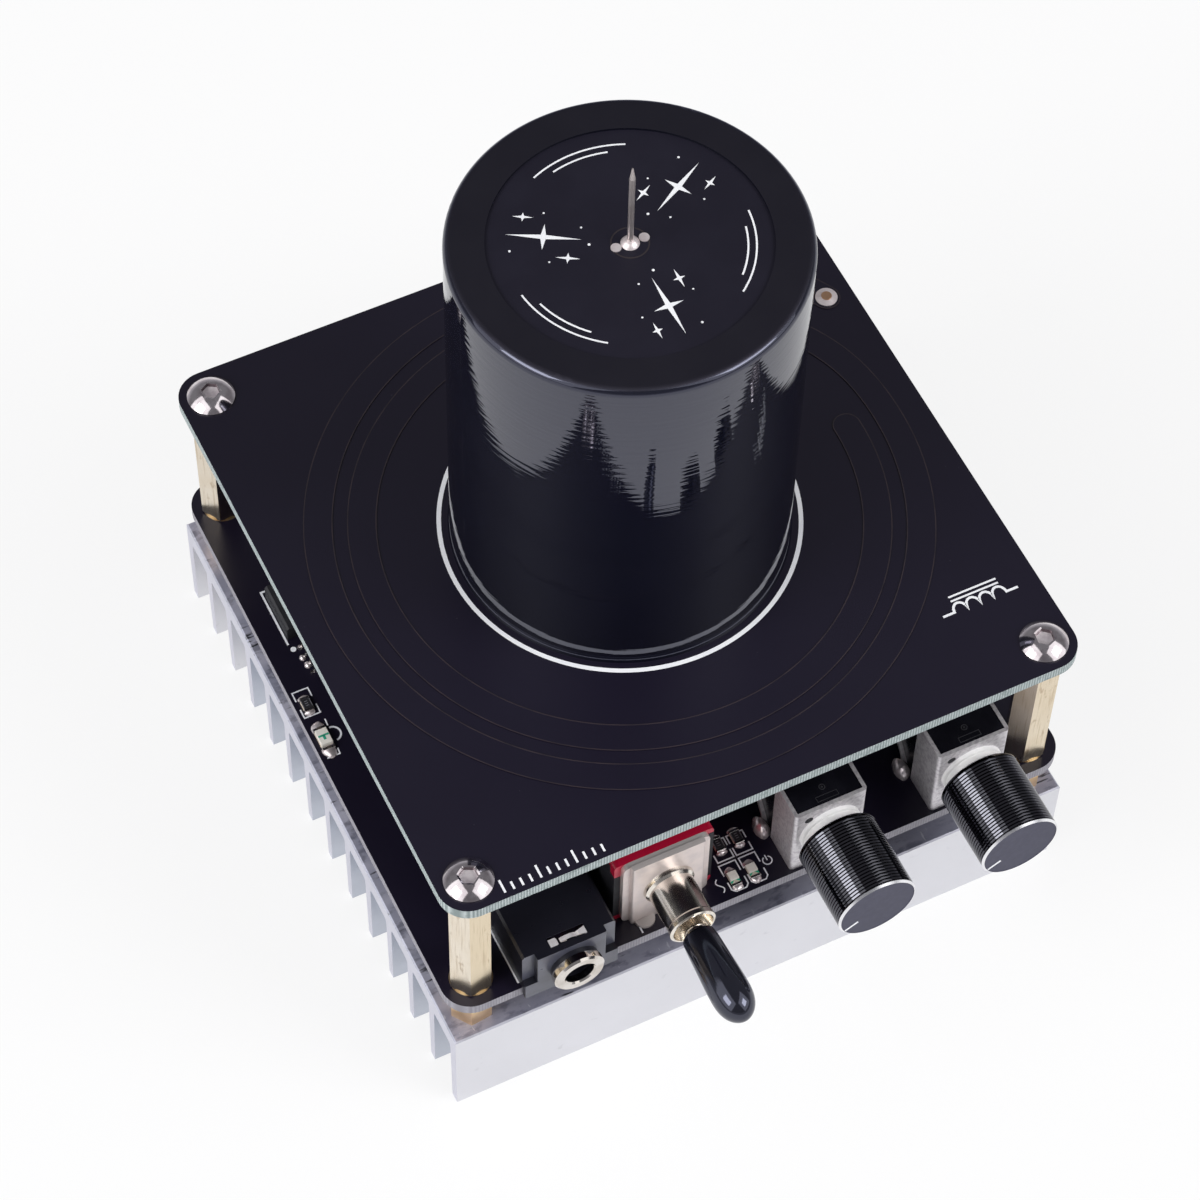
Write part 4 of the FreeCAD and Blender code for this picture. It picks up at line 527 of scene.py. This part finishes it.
class Piece:
    """A mesh drawn in millimetres, measured from the coil's axis in X and Y."""

    def __init__(self, name, body, slot, *materials):
        self.name, self.body, self.slot = name, body, slot
        self.materials = materials
        self.mesh = bmesh.new()
        self.index = 0

    def vert(self, x, y, z):
        return self.mesh.verts.new(Vector((x, y + AXIS_Y, z)) * MM)

    def face(self, verts):
        face = self.mesh.faces.new(verts)
        face.material_index = self.index
        return face

    def wall(self, a, b):
        """Faces between two closed rings of as many vertices."""
        for i in range(len(a)):
            j = (i + 1) % len(a)
            self.face([a[i], a[j], b[j], b[i]])

    def solid(self, rings):
        """Closed body through rings of vertices."""
        self.face(rings[0][::-1])
        for a, b in zip(rings, rings[1:]):
            self.wall(a, b)
        self.face(rings[-1])

    def prism(self, outline, z, thickness=PRINT_T):
        """Flat closed shape on the plane z."""
        self.solid([[self.vert(x, y, z + up) for x, y in outline] for up in (0, thickness)])

    def disc(self, x, y, r, z, count=24, thickness=PRINT_T):
        self.prism([(x + r * math.cos(a), y + r * math.sin(a)) for a in turns(count)], z, thickness)

    def stroke(self, points, width, z, thickness=PRINT_T, closed=False):
        """Line of even width through points, mitred at its bends."""
        points = [Vector(p) for p in points]
        count = len(points)
        rings = []
        for i, point in enumerate(points):
            before = points[i - 1] if i or closed else None
            after = points[(i + 1) % count] if i + 1 < count or closed else None
            a = (point - before).normalized() if before is not None else None
            b = (after - point).normalized() if after is not None else None
            a, b = a or b, b or a
            along = (a + b).normalized()
            across = Vector((-along.y, along.x))
            reach = width / 2 / max(across.dot(Vector((-a.y, a.x))), 0.3)
            left, right = point + across * reach, point - across * reach
            rings.append([self.vert(*right, z), self.vert(*left, z), self.vert(*left, z + thickness),
                          self.vert(*right, z + thickness)])
        if not closed:
            return self.solid(rings)
        for i in range(count):
            self.wall(rings[i - 1], rings[i])

    def arc(self, x, y, r, start, end, width, z, thickness=PRINT_T, count=48):
        """Line along a circle from start to end in degrees, closed when that is a whole turn."""
        whole = end - start >= 360
        angles = [math.radians(start + (end - start) * i / count) for i in range(count if whole else count + 1)]
        self.stroke([(x + r * math.cos(a), y + r * math.sin(a)) for a in angles], width, z, thickness, whole)

    def ring(self, x, y, inner, outer, z, thickness=PRINT_T, count=48):
        self.arc(x, y, (inner + outer) / 2, 0, 360, outer - inner, z, thickness, count)

    def coloured(self, made):
        """Gives the faces of vertices just made the piece's present material."""
        for face in {face for v in made for face in v.link_faces}:
            face.material_index = self.index

    def block(self, x, y, z, size, round_by):
        """Box centred on x, y that stands on z, with its edges rounded."""
        made = bmesh.ops.create_cube(self.mesh, size=1.0)["verts"]
        foot = Vector((x, y + AXIS_Y, z + size[2] / 2))
        for v in made:
            v.co = (foot + v.co * Vector(size)) * MM
        self.coloured(made)
        edges = list({e for v in made for e in v.link_edges})
        bmesh.ops.bevel(self.mesh, geom=edges, offset=round_by * MM, segments=2, affect="EDGES", profile=0.5,
                        material=-1)

    def lump(self, x, y, z, reach, height):
        """Rounded bead of solder that stands on z; reach is its half length along X and along Y."""
        made = bmesh.ops.create_icosphere(self.mesh, subdivisions=3, radius=1.0)["verts"]
        for v in made:
            a = math.atan2(v.co.y, v.co.x)
            rise = max(v.co.z, 0)
            pull = 1 - 0.1 * rise + 0.05 * math.sin(3 * a + x) + 0.04 * math.sin(5 * a + y)
            v.co = Vector((x + v.co.x * reach[0] * pull, y + AXIS_Y + v.co.y * reach[1] * pull,
                           z + rise ** 0.85 * height)) * MM
        self.coloured(made)

    def turned(self, profile, centre, axis, count=32):
        """Surface of revolution through (distance along axis, radius), closed where the radius is 0."""
        axis = Vector(axis).normalized()
        side = axis.orthogonal().normalized()
        other = axis.cross(side)
        base = Vector(centre)
        rings = []
        for along, r in profile:
            if r < 1e-9:
                rings.append([self.vert(*(base + axis * along))])
                continue
            rings.append([self.vert(*(base + axis * along + (side * math.cos(a) + other * math.sin(a)) * r))
                          for a in turns(count)])
        for a, b in zip(rings, rings[1:]):
            if len(a) == len(b):
                self.wall(a, b)
                continue
            tip, rim = (a[0], b) if len(a) == 1 else (b[0], a)
            for i in range(count):
                self.face([rim[i], rim[(i + 1) % count], tip])

    def finish(self, smooth=False, replaces=()):
        """Makes the object, on its body and the nodes whose place it takes."""
        bmesh.ops.recalc_face_normals(self.mesh, faces=self.mesh.faces)
        data = bpy.data.meshes.new(self.name)
        self.mesh.to_mesh(data)
        self.mesh.free()
        for name in self.materials:
            data.materials.append(MATERIALS[name])
        obj = bpy.data.objects.new(self.name, data)
        bpy.context.collection.objects.link(obj)
        if smooth:
            data.shade_smooth()
            data.set_sharp_from_angle(angle=math.radians(SHARP_DEG))
        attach(obj, self.body)
        if replaces:
            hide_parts(*replaces)
        return obj


# ------------------------ print on the boards
RING_R, RING_W = 21.07, 0.53
TICK_COUNT, TICK_STEP, TICK_X, TICK_Y = 12, 1.1, -33.2, -39.3
COIL_SIGN = (28.9, -28.3)
FINE, BOLD = 0.17, 0.26


def board_print():
    """White ring round the coil, plain scale ticks at the front and a coil symbol at the right."""
    piece = Piece("board_print", "base", "board_mask", "ink")
    piece.arc(0, 0, RING_R, 0, 360, RING_W, TOP_Z, count=160)
    for i in range(TICK_COUNT):
        x = TICK_X + i * TICK_STEP
        piece.stroke([(x, TICK_Y), (x, TICK_Y + (1.7 if i % 4 == 0 else 1.0))], 0.26, TOP_Z)
    x, y = COIL_SIGN
    r, tail = 0.85, 1.5
    end = x + 8 * r
    points = [(x - tail, y)]
    for hump in range(4):
        centre = x + r + 2 * r * hump
        points += [(centre - r * math.cos(math.pi * k / 8), y + 1.25 * r * math.sin(math.pi * k / 8))
                   for k in range(min(hump, 1), 9)]
    points.append((end + tail, y))
    piece.stroke(points, 0.3, TOP_Z)
    for shift in (1.5, 2.1):
        piece.stroke([(x + 0.3, y + shift), (end - 0.3, y + shift)], 0.24, TOP_Z)
    piece.finish()


def disc_print():
    """Three sparkle figures between nested arcs, and the brown ring round the needle's hole."""
    piece = Piece("disc_print", "base", "board_mask", "ink", "stain")
    for turn in (30, 150, 270):
        along, across = frame_at(turn)

        def at(u, v):
            return tuple(along * u + across * v)

        def sparkle(u, v, long, wide):
            waist = 0.16 * wide + 0.12
            reaches = (long, waist, wide, waist) * 2
            outline = [at(u + r * math.cos(b), v + r * math.sin(b)) for r, b in zip(reaches, turns(8))]
            piece.prism(outline, DISC_Z)

        sparkle(9.2, 0, 4.0, 1.7)
        sparkle(6.4, 2.6, 1.3, 0.7)
        sparkle(11.6, -2.5, 1.1, 0.6)
        for u, v, r in ((4.3, 0.6, 0.16), (5.3, -1.6, 0.12), (12.6, 2.2, 0.14), (8.3, 3.3, 0.11),
                        (9.4, -3.2, 0.12)):
            piece.disc(*at(u, v), r, DISC_Z, 12)
        for r, half in ((13.4, 24), (12.5, 15)):
            piece.arc(0, 0, r, turn + 60 - half, turn + 60 + half, 0.2, DISC_Z, count=24)
    piece.index = 1
    piece.ring(0, 0, 1.95, 2.12, DISC_Z)
    piece.finish()


def open_box(piece, x0, x1, y0, y1, gap, cut=0.0):
    """Two brackets that face each other across a gap; cut takes off the front one's corners."""
    middle = (y0 + y1) / 2
    front, back = middle - gap / 2, middle + gap / 2
    corner = [(x0 + cut, y0), (x1 - cut, y0), (x1, y0 + cut)] if cut else [(x1, y0)]
    piece.stroke([(x0, front), (x0, y0 + cut), *corner, (x1, front)], FINE, DECK_Z)
    piece.stroke([(x0, back), (x0, y1), (x1, y1), (x1, back)], FINE, DECK_Z)


def driver_print():
    """Outlines round the chips, with a wave and a stroke-in-circle sign beside the two front lamps."""
    piece = Piece("driver_print", "base", "board_mask", "ink_deck")
    for x0, x1 in ((-4.1, -1.95), (-1.5, 0.6)):
        open_box(piece, x0, x1, -39.35, -35.55, 0.9, 0.4)
    for x0, x1 in ((-3.95, -1.85), (-1.5, 0.6)):
        open_box(piece, x0, x1, -35.1, -32.3, 0.6)
    open_box(piece, -39.5, -37.45, 3.6, 7.4, 1.2)
    wave_x, wave_y = -5.1, -38.9
    power_x, power_y = 1.45, -37.2
    for points, width in (
        # left edge: round the lamp and the driver chip
        ([(-39.3, -2.62), (-37.66, -2.62), (-37.6, -1.8)], FINE),
        ([(-37.36, 2.54), (-37.4, 1.54)], FINE),
        ([(-35.6, 22.2), (-37.15, 22.2), (-37.15, 13.9)], BOLD),
        # front edge: ends of the socket's and the toggle's outlines
        ([(-31.63, -39.3), (-31.63, -31.2)], 0.2),
        ([(-15.9, -39.6), (-15.9, -38.7)], 0.2),
        # signs beside the two front lamps
        ([(wave_x + 0.34 * math.sin(t * math.pi / 4), wave_y + t * 0.24) for t in range(9)], 0.15),
        ([(power_x, power_y), (power_x, power_y + 0.75)], 0.15),
    ):
        piece.stroke(points, width, DECK_Z)
    piece.arc(power_x, power_y, 0.55, 120, 420, 0.15, DECK_Z, count=20)
    piece.arc(-37.35, 0.2, 0.98, -82, 92, 0.24, DECK_Z, count=20)
    piece.disc(-36.82, 13.09, 0.36, DECK_Z)
    piece.finish()


SCREW_R = 2.85
SCREW_TOP = corners("board_screws")[1]
HOLES = [(sx * (SCREW_TOP.x - SCREW_R), sy * (SCREW_TOP.y - AXIS_Y - SCREW_R)) for sx, sy in CORNER_SIGNS]
PAD_R, PAD_RIM_R, PAD_T = 2.2, 2.55, 0.03


def hole_pads():
    """Tinned ring round each corner hole on both faces of the driver board and under the upper board."""
    piece = Piece("hole_pads", "base", "solder", "pad")
    for x, y in HOLES:
        for z in (DECK_Z, DECK_BOTTOM - PAD_T, BOARD_BOTTOM - PAD_T):
            piece.ring(x, y, PAD_R, PAD_RIM_R, z, PAD_T)
    piece.finish()


ROLL_W, ROLL_T = 0.13, 0.012


def trace_lines():
    """Faint line where the mask rolls over each edge of the flat primary trace."""
    piece = Piece("trace_lines", "base", "board_mask", "trace_line")
    mesh = NODES["primary_winding"].data
    edges = set()  # each edge of an upward face, in that face's own sense
    for polygon in mesh.polygons:
        if polygon.normal.z > 0.9:
            ring = [tuple(round(c / MM, 3) for c in mesh.vertices[i].co) for i in polygon.vertices]
            edges.update(zip(ring, ring[1:] + ring[:1]))
    after = {a: b for a, b in edges if (b, a) not in edges}
    while after:
        loop, here = [], min(after)
        while here in after:
            loop.append(here)
            here = after.pop(here)
        piece.stroke([(x, y - AXIS_Y) for x, y, z in loop], ROLL_W, here[2], ROLL_T, closed=True)
    piece.finish()


# ------------------------ small parts on the driver board
def node_places(name):
    """Middle, foot and size of each separate block of a CAD node, measured from the coil's axis."""
    mesh = NODES[name].data
    keys = [tuple(round(c / MM, 2) for c in v.co) for v in mesh.vertices]
    home = {key: key for key in keys}

    def find(key):
        while home[key] != key:
            key = home[key]
        return key

    for polygon in mesh.polygons:
        first = find(keys[polygon.vertices[0]])
        for index in polygon.vertices[1:]:
            home[find(keys[index])] = first
    groups = {}
    for key in home:
        groups.setdefault(find(key), []).append(key)
    places = []
    for group in groups.values():
        low, high = (Vector([pick(values) for values in zip(*group)]) for pick in (min, max))
        middle = (low + high) / 2
        places.append((middle.x, middle.y - AXIS_Y, low.z, high - low))
    return sorted(places, key=lambda place: place[:2])


def half_disc(x, y, r, way):
    """Outline of a half circle whose flat side faces way along Y."""
    return [(x + r * math.cos(math.pi * k / 8), y - way * r * math.sin(math.pi * k / 8)) for k in range(9)]


def lamps(joints):
    """Chip lamps: a cream body with a clear block, plated ends and a green mark for the cathode."""
    leds = Piece("led_parts", "base", "led_white", "ceramic", "lens", "green", "tin", "hole")
    for x, y, z, (width, length, height) in node_places("status_leds"):
        at_left_edge = x < -30
        seat_z = z + height * 0.42
        leds.index = 0
        leds.block(x, y, z, (width * 0.96, length * 0.98, height * 0.42), 0.02)
        leds.index = 1
        back, front = (0.34, -0.34) if at_left_edge else (0.4, -0.16)
        leds.block(x, y + length * (back + front) / 2, seat_z,
                   (width * 0.92, length * (back - front), height * 0.58), 0.06)
        leds.index = 3
        for way in (-1, 1):
            leds.block(x, y + way * length * 0.42, z, (width, length * 0.17, height * 0.56), 0.03)
            joints.lump(x, y + way * length * 0.5, z,
                        (width * 0.55, length * (0.345 - way * 0.015)), height * 0.55)
        if at_left_edge:
            leds.index = 4
            for way in (-1, 1):
                notch = half_disc(x, y + way * length * 0.5, width * 0.2, way)
                leds.prism(notch[::way], z + height * 0.56, PRINT_T)
            leds.index = 2
            leds.stroke([(x - 0.66, y + 0.1), (x + 0.66, y + 0.1)], 0.26, z + height, 0.015)
            leds.stroke([(x, y + 0.1), (x, y - 0.52)], 0.32, z + height, 0.015)
        else:
            leds.index = 2
            for way in (-1, 1):
                edge_x, mark_y = x + way * width * 0.46, y - length * 0.17
                outline = [(edge_x, mark_y), (edge_x, y - length * 0.34), (x + way * width * 0.1, mark_y)]
                leds.prism(outline[::-way], seat_z, 0.05)
    leds.finish(replaces=("status_leds",))


def resistors(joints):
    """Chip resistors: dark glass between plated ends, with plain bars for a value."""
    res = Piece("resistor_parts", "base", "chip_black", "ceramic", "chip", "tin", "ink_grey")
    for x, y, z, (width, length, height) in node_places("chip_resistors"):
        res.index = 0
        res.block(x, y, z, (width * 0.98, length * 0.98, height - 0.06), 0.02)
        res.index = 1
        res.block(x, y, z + height - 0.07, (width * 0.94, length * 0.62, 0.06), 0.02)
        res.index = 2
        for way in (-1, 1):
            res.block(x, y + way * length * 0.4, z, (width, length * 0.2, height - 0.03), 0.05)
            joints.lump(x, y + way * length * 0.5, z, (width * 0.56, length * 0.24), height * 0.72)
        res.index = 3
        top = z + height - 0.012
        for k in (-1, 0, 1):
            res.stroke([(x - 0.2, y + k * 0.3), (x + 0.2, y + k * 0.3)], 0.08, top, 0.008)
        for edge_x in (x - width * 0.42, x + width * 0.42):
            res.stroke([(edge_x, y - length * 0.28), (edge_x, y + length * 0.28)], 0.07, top, 0.008)
    res.finish(replaces=("chip_resistors",))


def chips():
    """Lamps, resistors, and the solder of all joints on the driver board."""
    joints = Piece("chip_solder", "base", "solder", "solder")
    lamps(joints)
    resistors(joints)
    for x, y, r in ((-36.0, 20.7, 0.5), (-36.0, 13.0, 0.34), (-36.3, 11.5, 0.42), (-36.1, 10.3, 0.5)):
        joints.lump(x, y, DECK_Z, (r, r), r * 0.8)
    for x, y, z, size in node_places("solder_joints"):
        joints.lump(x + 0.2, y, z, (size.x * 0.72, size.y * 0.44), size.z * 1.4)
    joints.finish(smooth=True, replaces=("solder_joints",))


# ------------------------ controls
KNOB_GROOVES = 24
KNOB_PLAIN = 0.2
KNOB_RIM = 0.24
KNOB_BORE = 3.05
KNOB_STEPS = 112
GROOVE_DEPTH = 0.2
RIDGE_SHARE = 0.58
POINTER_DEG = -150
COLLAR_BORE, COLLAR_BOSS_R, COLLAR_R = 3.05, 3.86, 3.6


def knob_skirt(length, radius):
    """Profile from the knob's rear to its rim: ridges whose crowns lean to the face, between grooves."""
    pitch = (length - 2 * KNOB_PLAIN) / KNOB_GROOVES
    half = RIDGE_SHARE * pitch / 2
    floor_r = radius - GROOVE_DEPTH
    profile = [(0.0, radius - 0.15), (0.15, radius), (KNOB_PLAIN + half, radius),
               (KNOB_PLAIN + 0.5 * pitch, floor_r)]
    for index in range(1, KNOB_GROOVES):
        middle = KNOB_PLAIN + index * pitch
        profile.append((middle - half, radius - 0.05))
        for run in (0.0, 0.35, 0.7, 1.05, 1.4, 1.75):
            profile.append((middle + (run - 0.75) * half, radius - half * run * (0.2 + 0.055 * run)))
        profile.append((middle + 0.5 * pitch, floor_r))
    return profile + [(length - KNOB_PLAIN - half, radius), (length - KNOB_RIM, radius)]


FORWARD = (0, -1, 0)


def from_rear(node):
    """Corners of a part that lies along Y, and the middle of its rear face measured from the coil's axis."""
    low, high = corners(node)
    return low, high, Vector(((low.x + high.x) / 2, high.y - AXIS_Y, (low.z + high.z) / 2))


def knobs():
    """Anodised knobs with a spun face, a bright cut rim and a white pointer at the lower left."""
    for side in SIDES:
        low, high, centre = from_rear(side + "_knob")
        radius, length = (high.x - low.x) / 2, high.y - low.y
        face_r, face_l = radius - KNOB_RIM, length - 0.05
        spun = face_r - 0.04
        piece = Piece(side + "_knob_turned", side + "_control", "knob_aluminium",
                      "knob", "knob_face", "knob_rim", "ink")
        skirt = [(1.5, KNOB_BORE), (0.0, KNOB_BORE)] + knob_skirt(length, radius)
        rim = [(length - KNOB_RIM, radius), (length, face_r)]
        face = [(length, face_r)] + [(face_l, spun - spun * k / 6) for k in range(7)]
        for index, profile in ((0, skirt), (2, rim), (1, face), (1, [(1.5, KNOB_BORE), (1.5, 0.0)])):
            piece.index = index
            piece.turned(profile, centre, FORWARD, KNOB_STEPS)
        piece.index = 3
        along, across = frame_at(POINTER_DEG)
        outline = [along * u + across * v for u, v in ((2.8, -0.16), (4.64, -0.16), (4.64, 0.16), (2.8, 0.16))]
        piece.solid([[piece.vert(centre.x + p.x, centre.y - face_l + shift, centre.z + p.y) for p in outline]
                     for shift in (-0.03, 0.02)])
        piece.finish(smooth=True, replaces=(side + "_knob",))


def collars():
    """Die-cast collar between each bracket and its knob: a low boss and a plain barrel."""
    for side in SIDES:
        low, high, centre = from_rear(side + "_pot_bushing")
        reach = high.y - low.y
        piece = Piece(side + "_pot_collar", "base", "nickel", "collar")
        profile = [(0.0, COLLAR_BORE), (0.0, COLLAR_BOSS_R), (0.4, COLLAR_BOSS_R), (0.52, COLLAR_BOSS_R - 0.11),
                   (0.56, COLLAR_R), (reach - 0.12, COLLAR_R), (reach, COLLAR_R - 0.12), (reach, COLLAR_BORE),
                   (0.0, COLLAR_BORE)]
        piece.turned(profile, centre, FORWARD, 72)
        piece.finish(smooth=True, replaces=(side + "_pot_bushing",))


# Distance from the mouth and radius; the distances are scaled to the cap's own length.
CAP_PROFILE = ((0.0, 0.0), (0.0, 1.75), (0.22, 2.0), (1.0, 2.1), (3.0, 2.2), (5.5, 2.34), (7.6, 2.44),
               (8.8, 2.44), (9.7, 2.33), (10.5, 2.08), (11.15, 1.7), (11.6, 1.27), (11.9, 0.8),
               (12.05, 0.4), (12.1, 0.0))


def toggle_cap_skin():
    """Dipped vinyl cap: narrow at its mouth, fuller towards its round tip."""
    piece = Piece("toggle_cap_skin", "toggle", "cap_plastic", "cap")
    low, high, centre = from_rear("toggle_cap")
    share = (high.y - low.y) / CAP_PROFILE[-1][0]
    piece.turned([(along * share, r) for along, r in CAP_PROFILE], centre, FORWARD, 40)
    obj = piece.finish(smooth=True, replaces=("toggle_cap",))
    rounding = obj.modifiers.new("rounding", "SUBSURF")
    rounding.levels = rounding.render_levels = 1


def toggle_side():
    """Black plates of painted shade on the toggle's red moulding, left of its frame and right of it, and three
    bright lugs.
    """
    piece = Piece("toggle_side", "base", "chip_black", "side", "nickel")
    low, high = corners("toggle_body")
    inner_left, inner_right = (corner.x for corner in corners("toggle_frame"))
    left, right = low.x - 0.04, high.x + 0.03
    front = low.y - AXIS_Y
    deep, tall = high.y - low.y, high.z - low.z
    middle = front + deep / 2
    # Painted shade: thin black blocks laid on the red moulding where it lies in shade.
    piece.block((left + inner_left) / 2, middle - 0.03, low.z + 0.9,
                (inner_left - left, deep, tall - 3.2), 0.05)
    piece.block((inner_right + right) / 2, front + 0.45, low.z + 1.2,
                (right - inner_right, 1.0, tall - 2.2), 0.05)
    piece.block(left + 0.3, middle + 0.4, high.z - 2.4, (0.6, deep - 1.2, 1.5), 0.05)
    piece.index = 1
    for k in range(3):
        piece.block(left - 0.02, front + 3.0 + k * 0.9, high.z - 4.2 - 0.2 * k, (0.08, 0.22, 2.2), 0.03)
    piece.finish()


LEAF_X, LEAF_T = -25.6, 0.12


def jack_leaf():
    """Sprung contact that shows in the slot on top of the audio socket."""
    piece = Piece("jack_leaf", "base", "nickel", "leaf")
    low, high = corners("audio_jack_body")
    front = low.y - AXIS_Y + 1.6
    rings = []
    for u, v in ((-2.35, 0.02), (-1.5, 0.02), (-1.2, -0.22), (-0.9, 0.0), (-0.3, 0.1), (0.3, 0.1), (0.7, 0.0),
                 (0.95, -0.2), (1.25, 0.02), (2.2, 0.02)):
        x, z = LEAF_X + u, high.z + v
        at_end = abs(u) > 1.4
        y0, y1 = (front - 0.1, front + 0.85) if at_end else (front + 0.1, front + 0.62)
        rings.append([piece.vert(x, y0, z), piece.vert(x, y1, z), piece.vert(x, y1, z + LEAF_T),
                      piece.vert(x, y0, z + LEAF_T)])
    piece.solid(rings)
    piece.finish(smooth=True)


# ------------------------ screws
SHANK_R = 1.45
SCREW_KEY = 2.0
SCREW_TURNS = (34, 20, 50, 28)
HEAD_EDGE = 0.2
KEY_LIP = 0.2
KEY_DEPTH = 0.85


def screw_heads():
    """Button head screws: a dome with a broken edge round its hexagonal socket, whose walls are painted dark as
    shade.
    """
    piece = Piece("screw_heads", "base", "steel_screws", "steel", "shaded_key_wall", "key_floor")
    foot, top = corners("board_screws")[0].z, SCREW_TOP.z
    rise = top - TOP_Z - HEAD_EDGE
    ball = (SCREW_R ** 2 + rise ** 2) / (2 * rise)
    around = turns(60)

    def dome(r):
        return top - ball + math.sqrt(ball * ball - r * r)

    def key(a, turn):
        """Distance from the axis to the side of the socket."""
        return SCREW_KEY / 2 / math.cos(math.radians((math.degrees(a) - turn) % 60 - 30))

    for (x, y), turn in zip(HOLES, SCREW_TURNS):
        keys = [key(a, turn) for a in around]
        rings = [[(r, z)] * len(around) for r, z in ((SHANK_R, foot), (SHANK_R, TOP_Z), (SCREW_R, TOP_Z),
                                                     (SCREW_R, TOP_Z + HEAD_EDGE))]
        for share in (0.15, 0.32, 0.5, 0.68, 0.85, 1.0):
            radii = [SCREW_R + (k + KEY_LIP - SCREW_R) * share for k in keys]
            rings.append([(r, dome(r)) for r in radii])
        rings.append([(k, dome(k + KEY_LIP) - 0.07) for k in keys])
        rings.append([(k * 0.97, top - KEY_DEPTH) for k in keys])
        rings.append([(k * 0.55, top - KEY_DEPTH - 0.1) for k in keys])
        rows = [[piece.vert(x + r * math.cos(a), y + r * math.sin(a), z) for a, (r, z) in zip(around, ring)]
                for ring in rings]
        piece.index = 0
        piece.face(rows[0][::-1])
        for index, (a, b) in enumerate(zip(rows, rows[1:])):
            # The socket's wall carries painted shade.
            piece.index = max(0, index - len(rows) + 4)  # the last two bands are the socket's wall and floor
            piece.wall(a, b)
        piece.face(rows[-1])
    piece.finish(smooth=True, replaces=("board_screws",))


POT_BOSS_R = 4.4
KEY_HOLE = (-2.85, 3.35)


def pot_marks():
    """Gate mark and frame on top of each potentiometer, and a thin black disc of painted shade in its bracket's
    key hole.
    """
    piece = Piece("pot_marks", "base", "black_plastic", "chip", "side")
    for side in SIDES:
        low, high = corners(side + "_pot_body")
        x, front = (low.x + high.x) / 2, low.y - AXIS_Y
        piece.index = 0
        piece.arc(x, front + 2.1, 0.34, 0, 360, 0.12, high.z, 0.03, 24)
        piece.disc(x, front + 2.1, 0.14, high.z, 12, 0.03)
        piece.stroke([(x - 1.35, front + 0.45), (x + 1.35, front + 0.45), (x + 1.35, front + 1.1),
                      (x - 1.35, front + 1.1)], 0.09, high.z, 0.03, True)
        # Painted shade: a thin black disc just behind the bracket's face fills its key hole.
        piece.index = 1
        shaft_z = corners(side + "_pot_bushing")[0].z + POT_BOSS_R
        bracket_y = corners(side + "_pot_bracket")[0].y - AXIS_Y
        hole = (x + KEY_HOLE[0], bracket_y + 0.12, shaft_z + KEY_HOLE[1])
        piece.turned([(0.0, 0.0), (0.0, 0.54), (0.06, 0.54), (0.06, 0.0)], hole, FORWARD, 20)
    piece.finish()


board_print()
disc_print()
driver_print()
hole_pads()
trace_lines()
chips()
knobs()
collars()
toggle_cap_skin()
toggle_side()
jack_leaf()
screw_heads()
pot_marks()
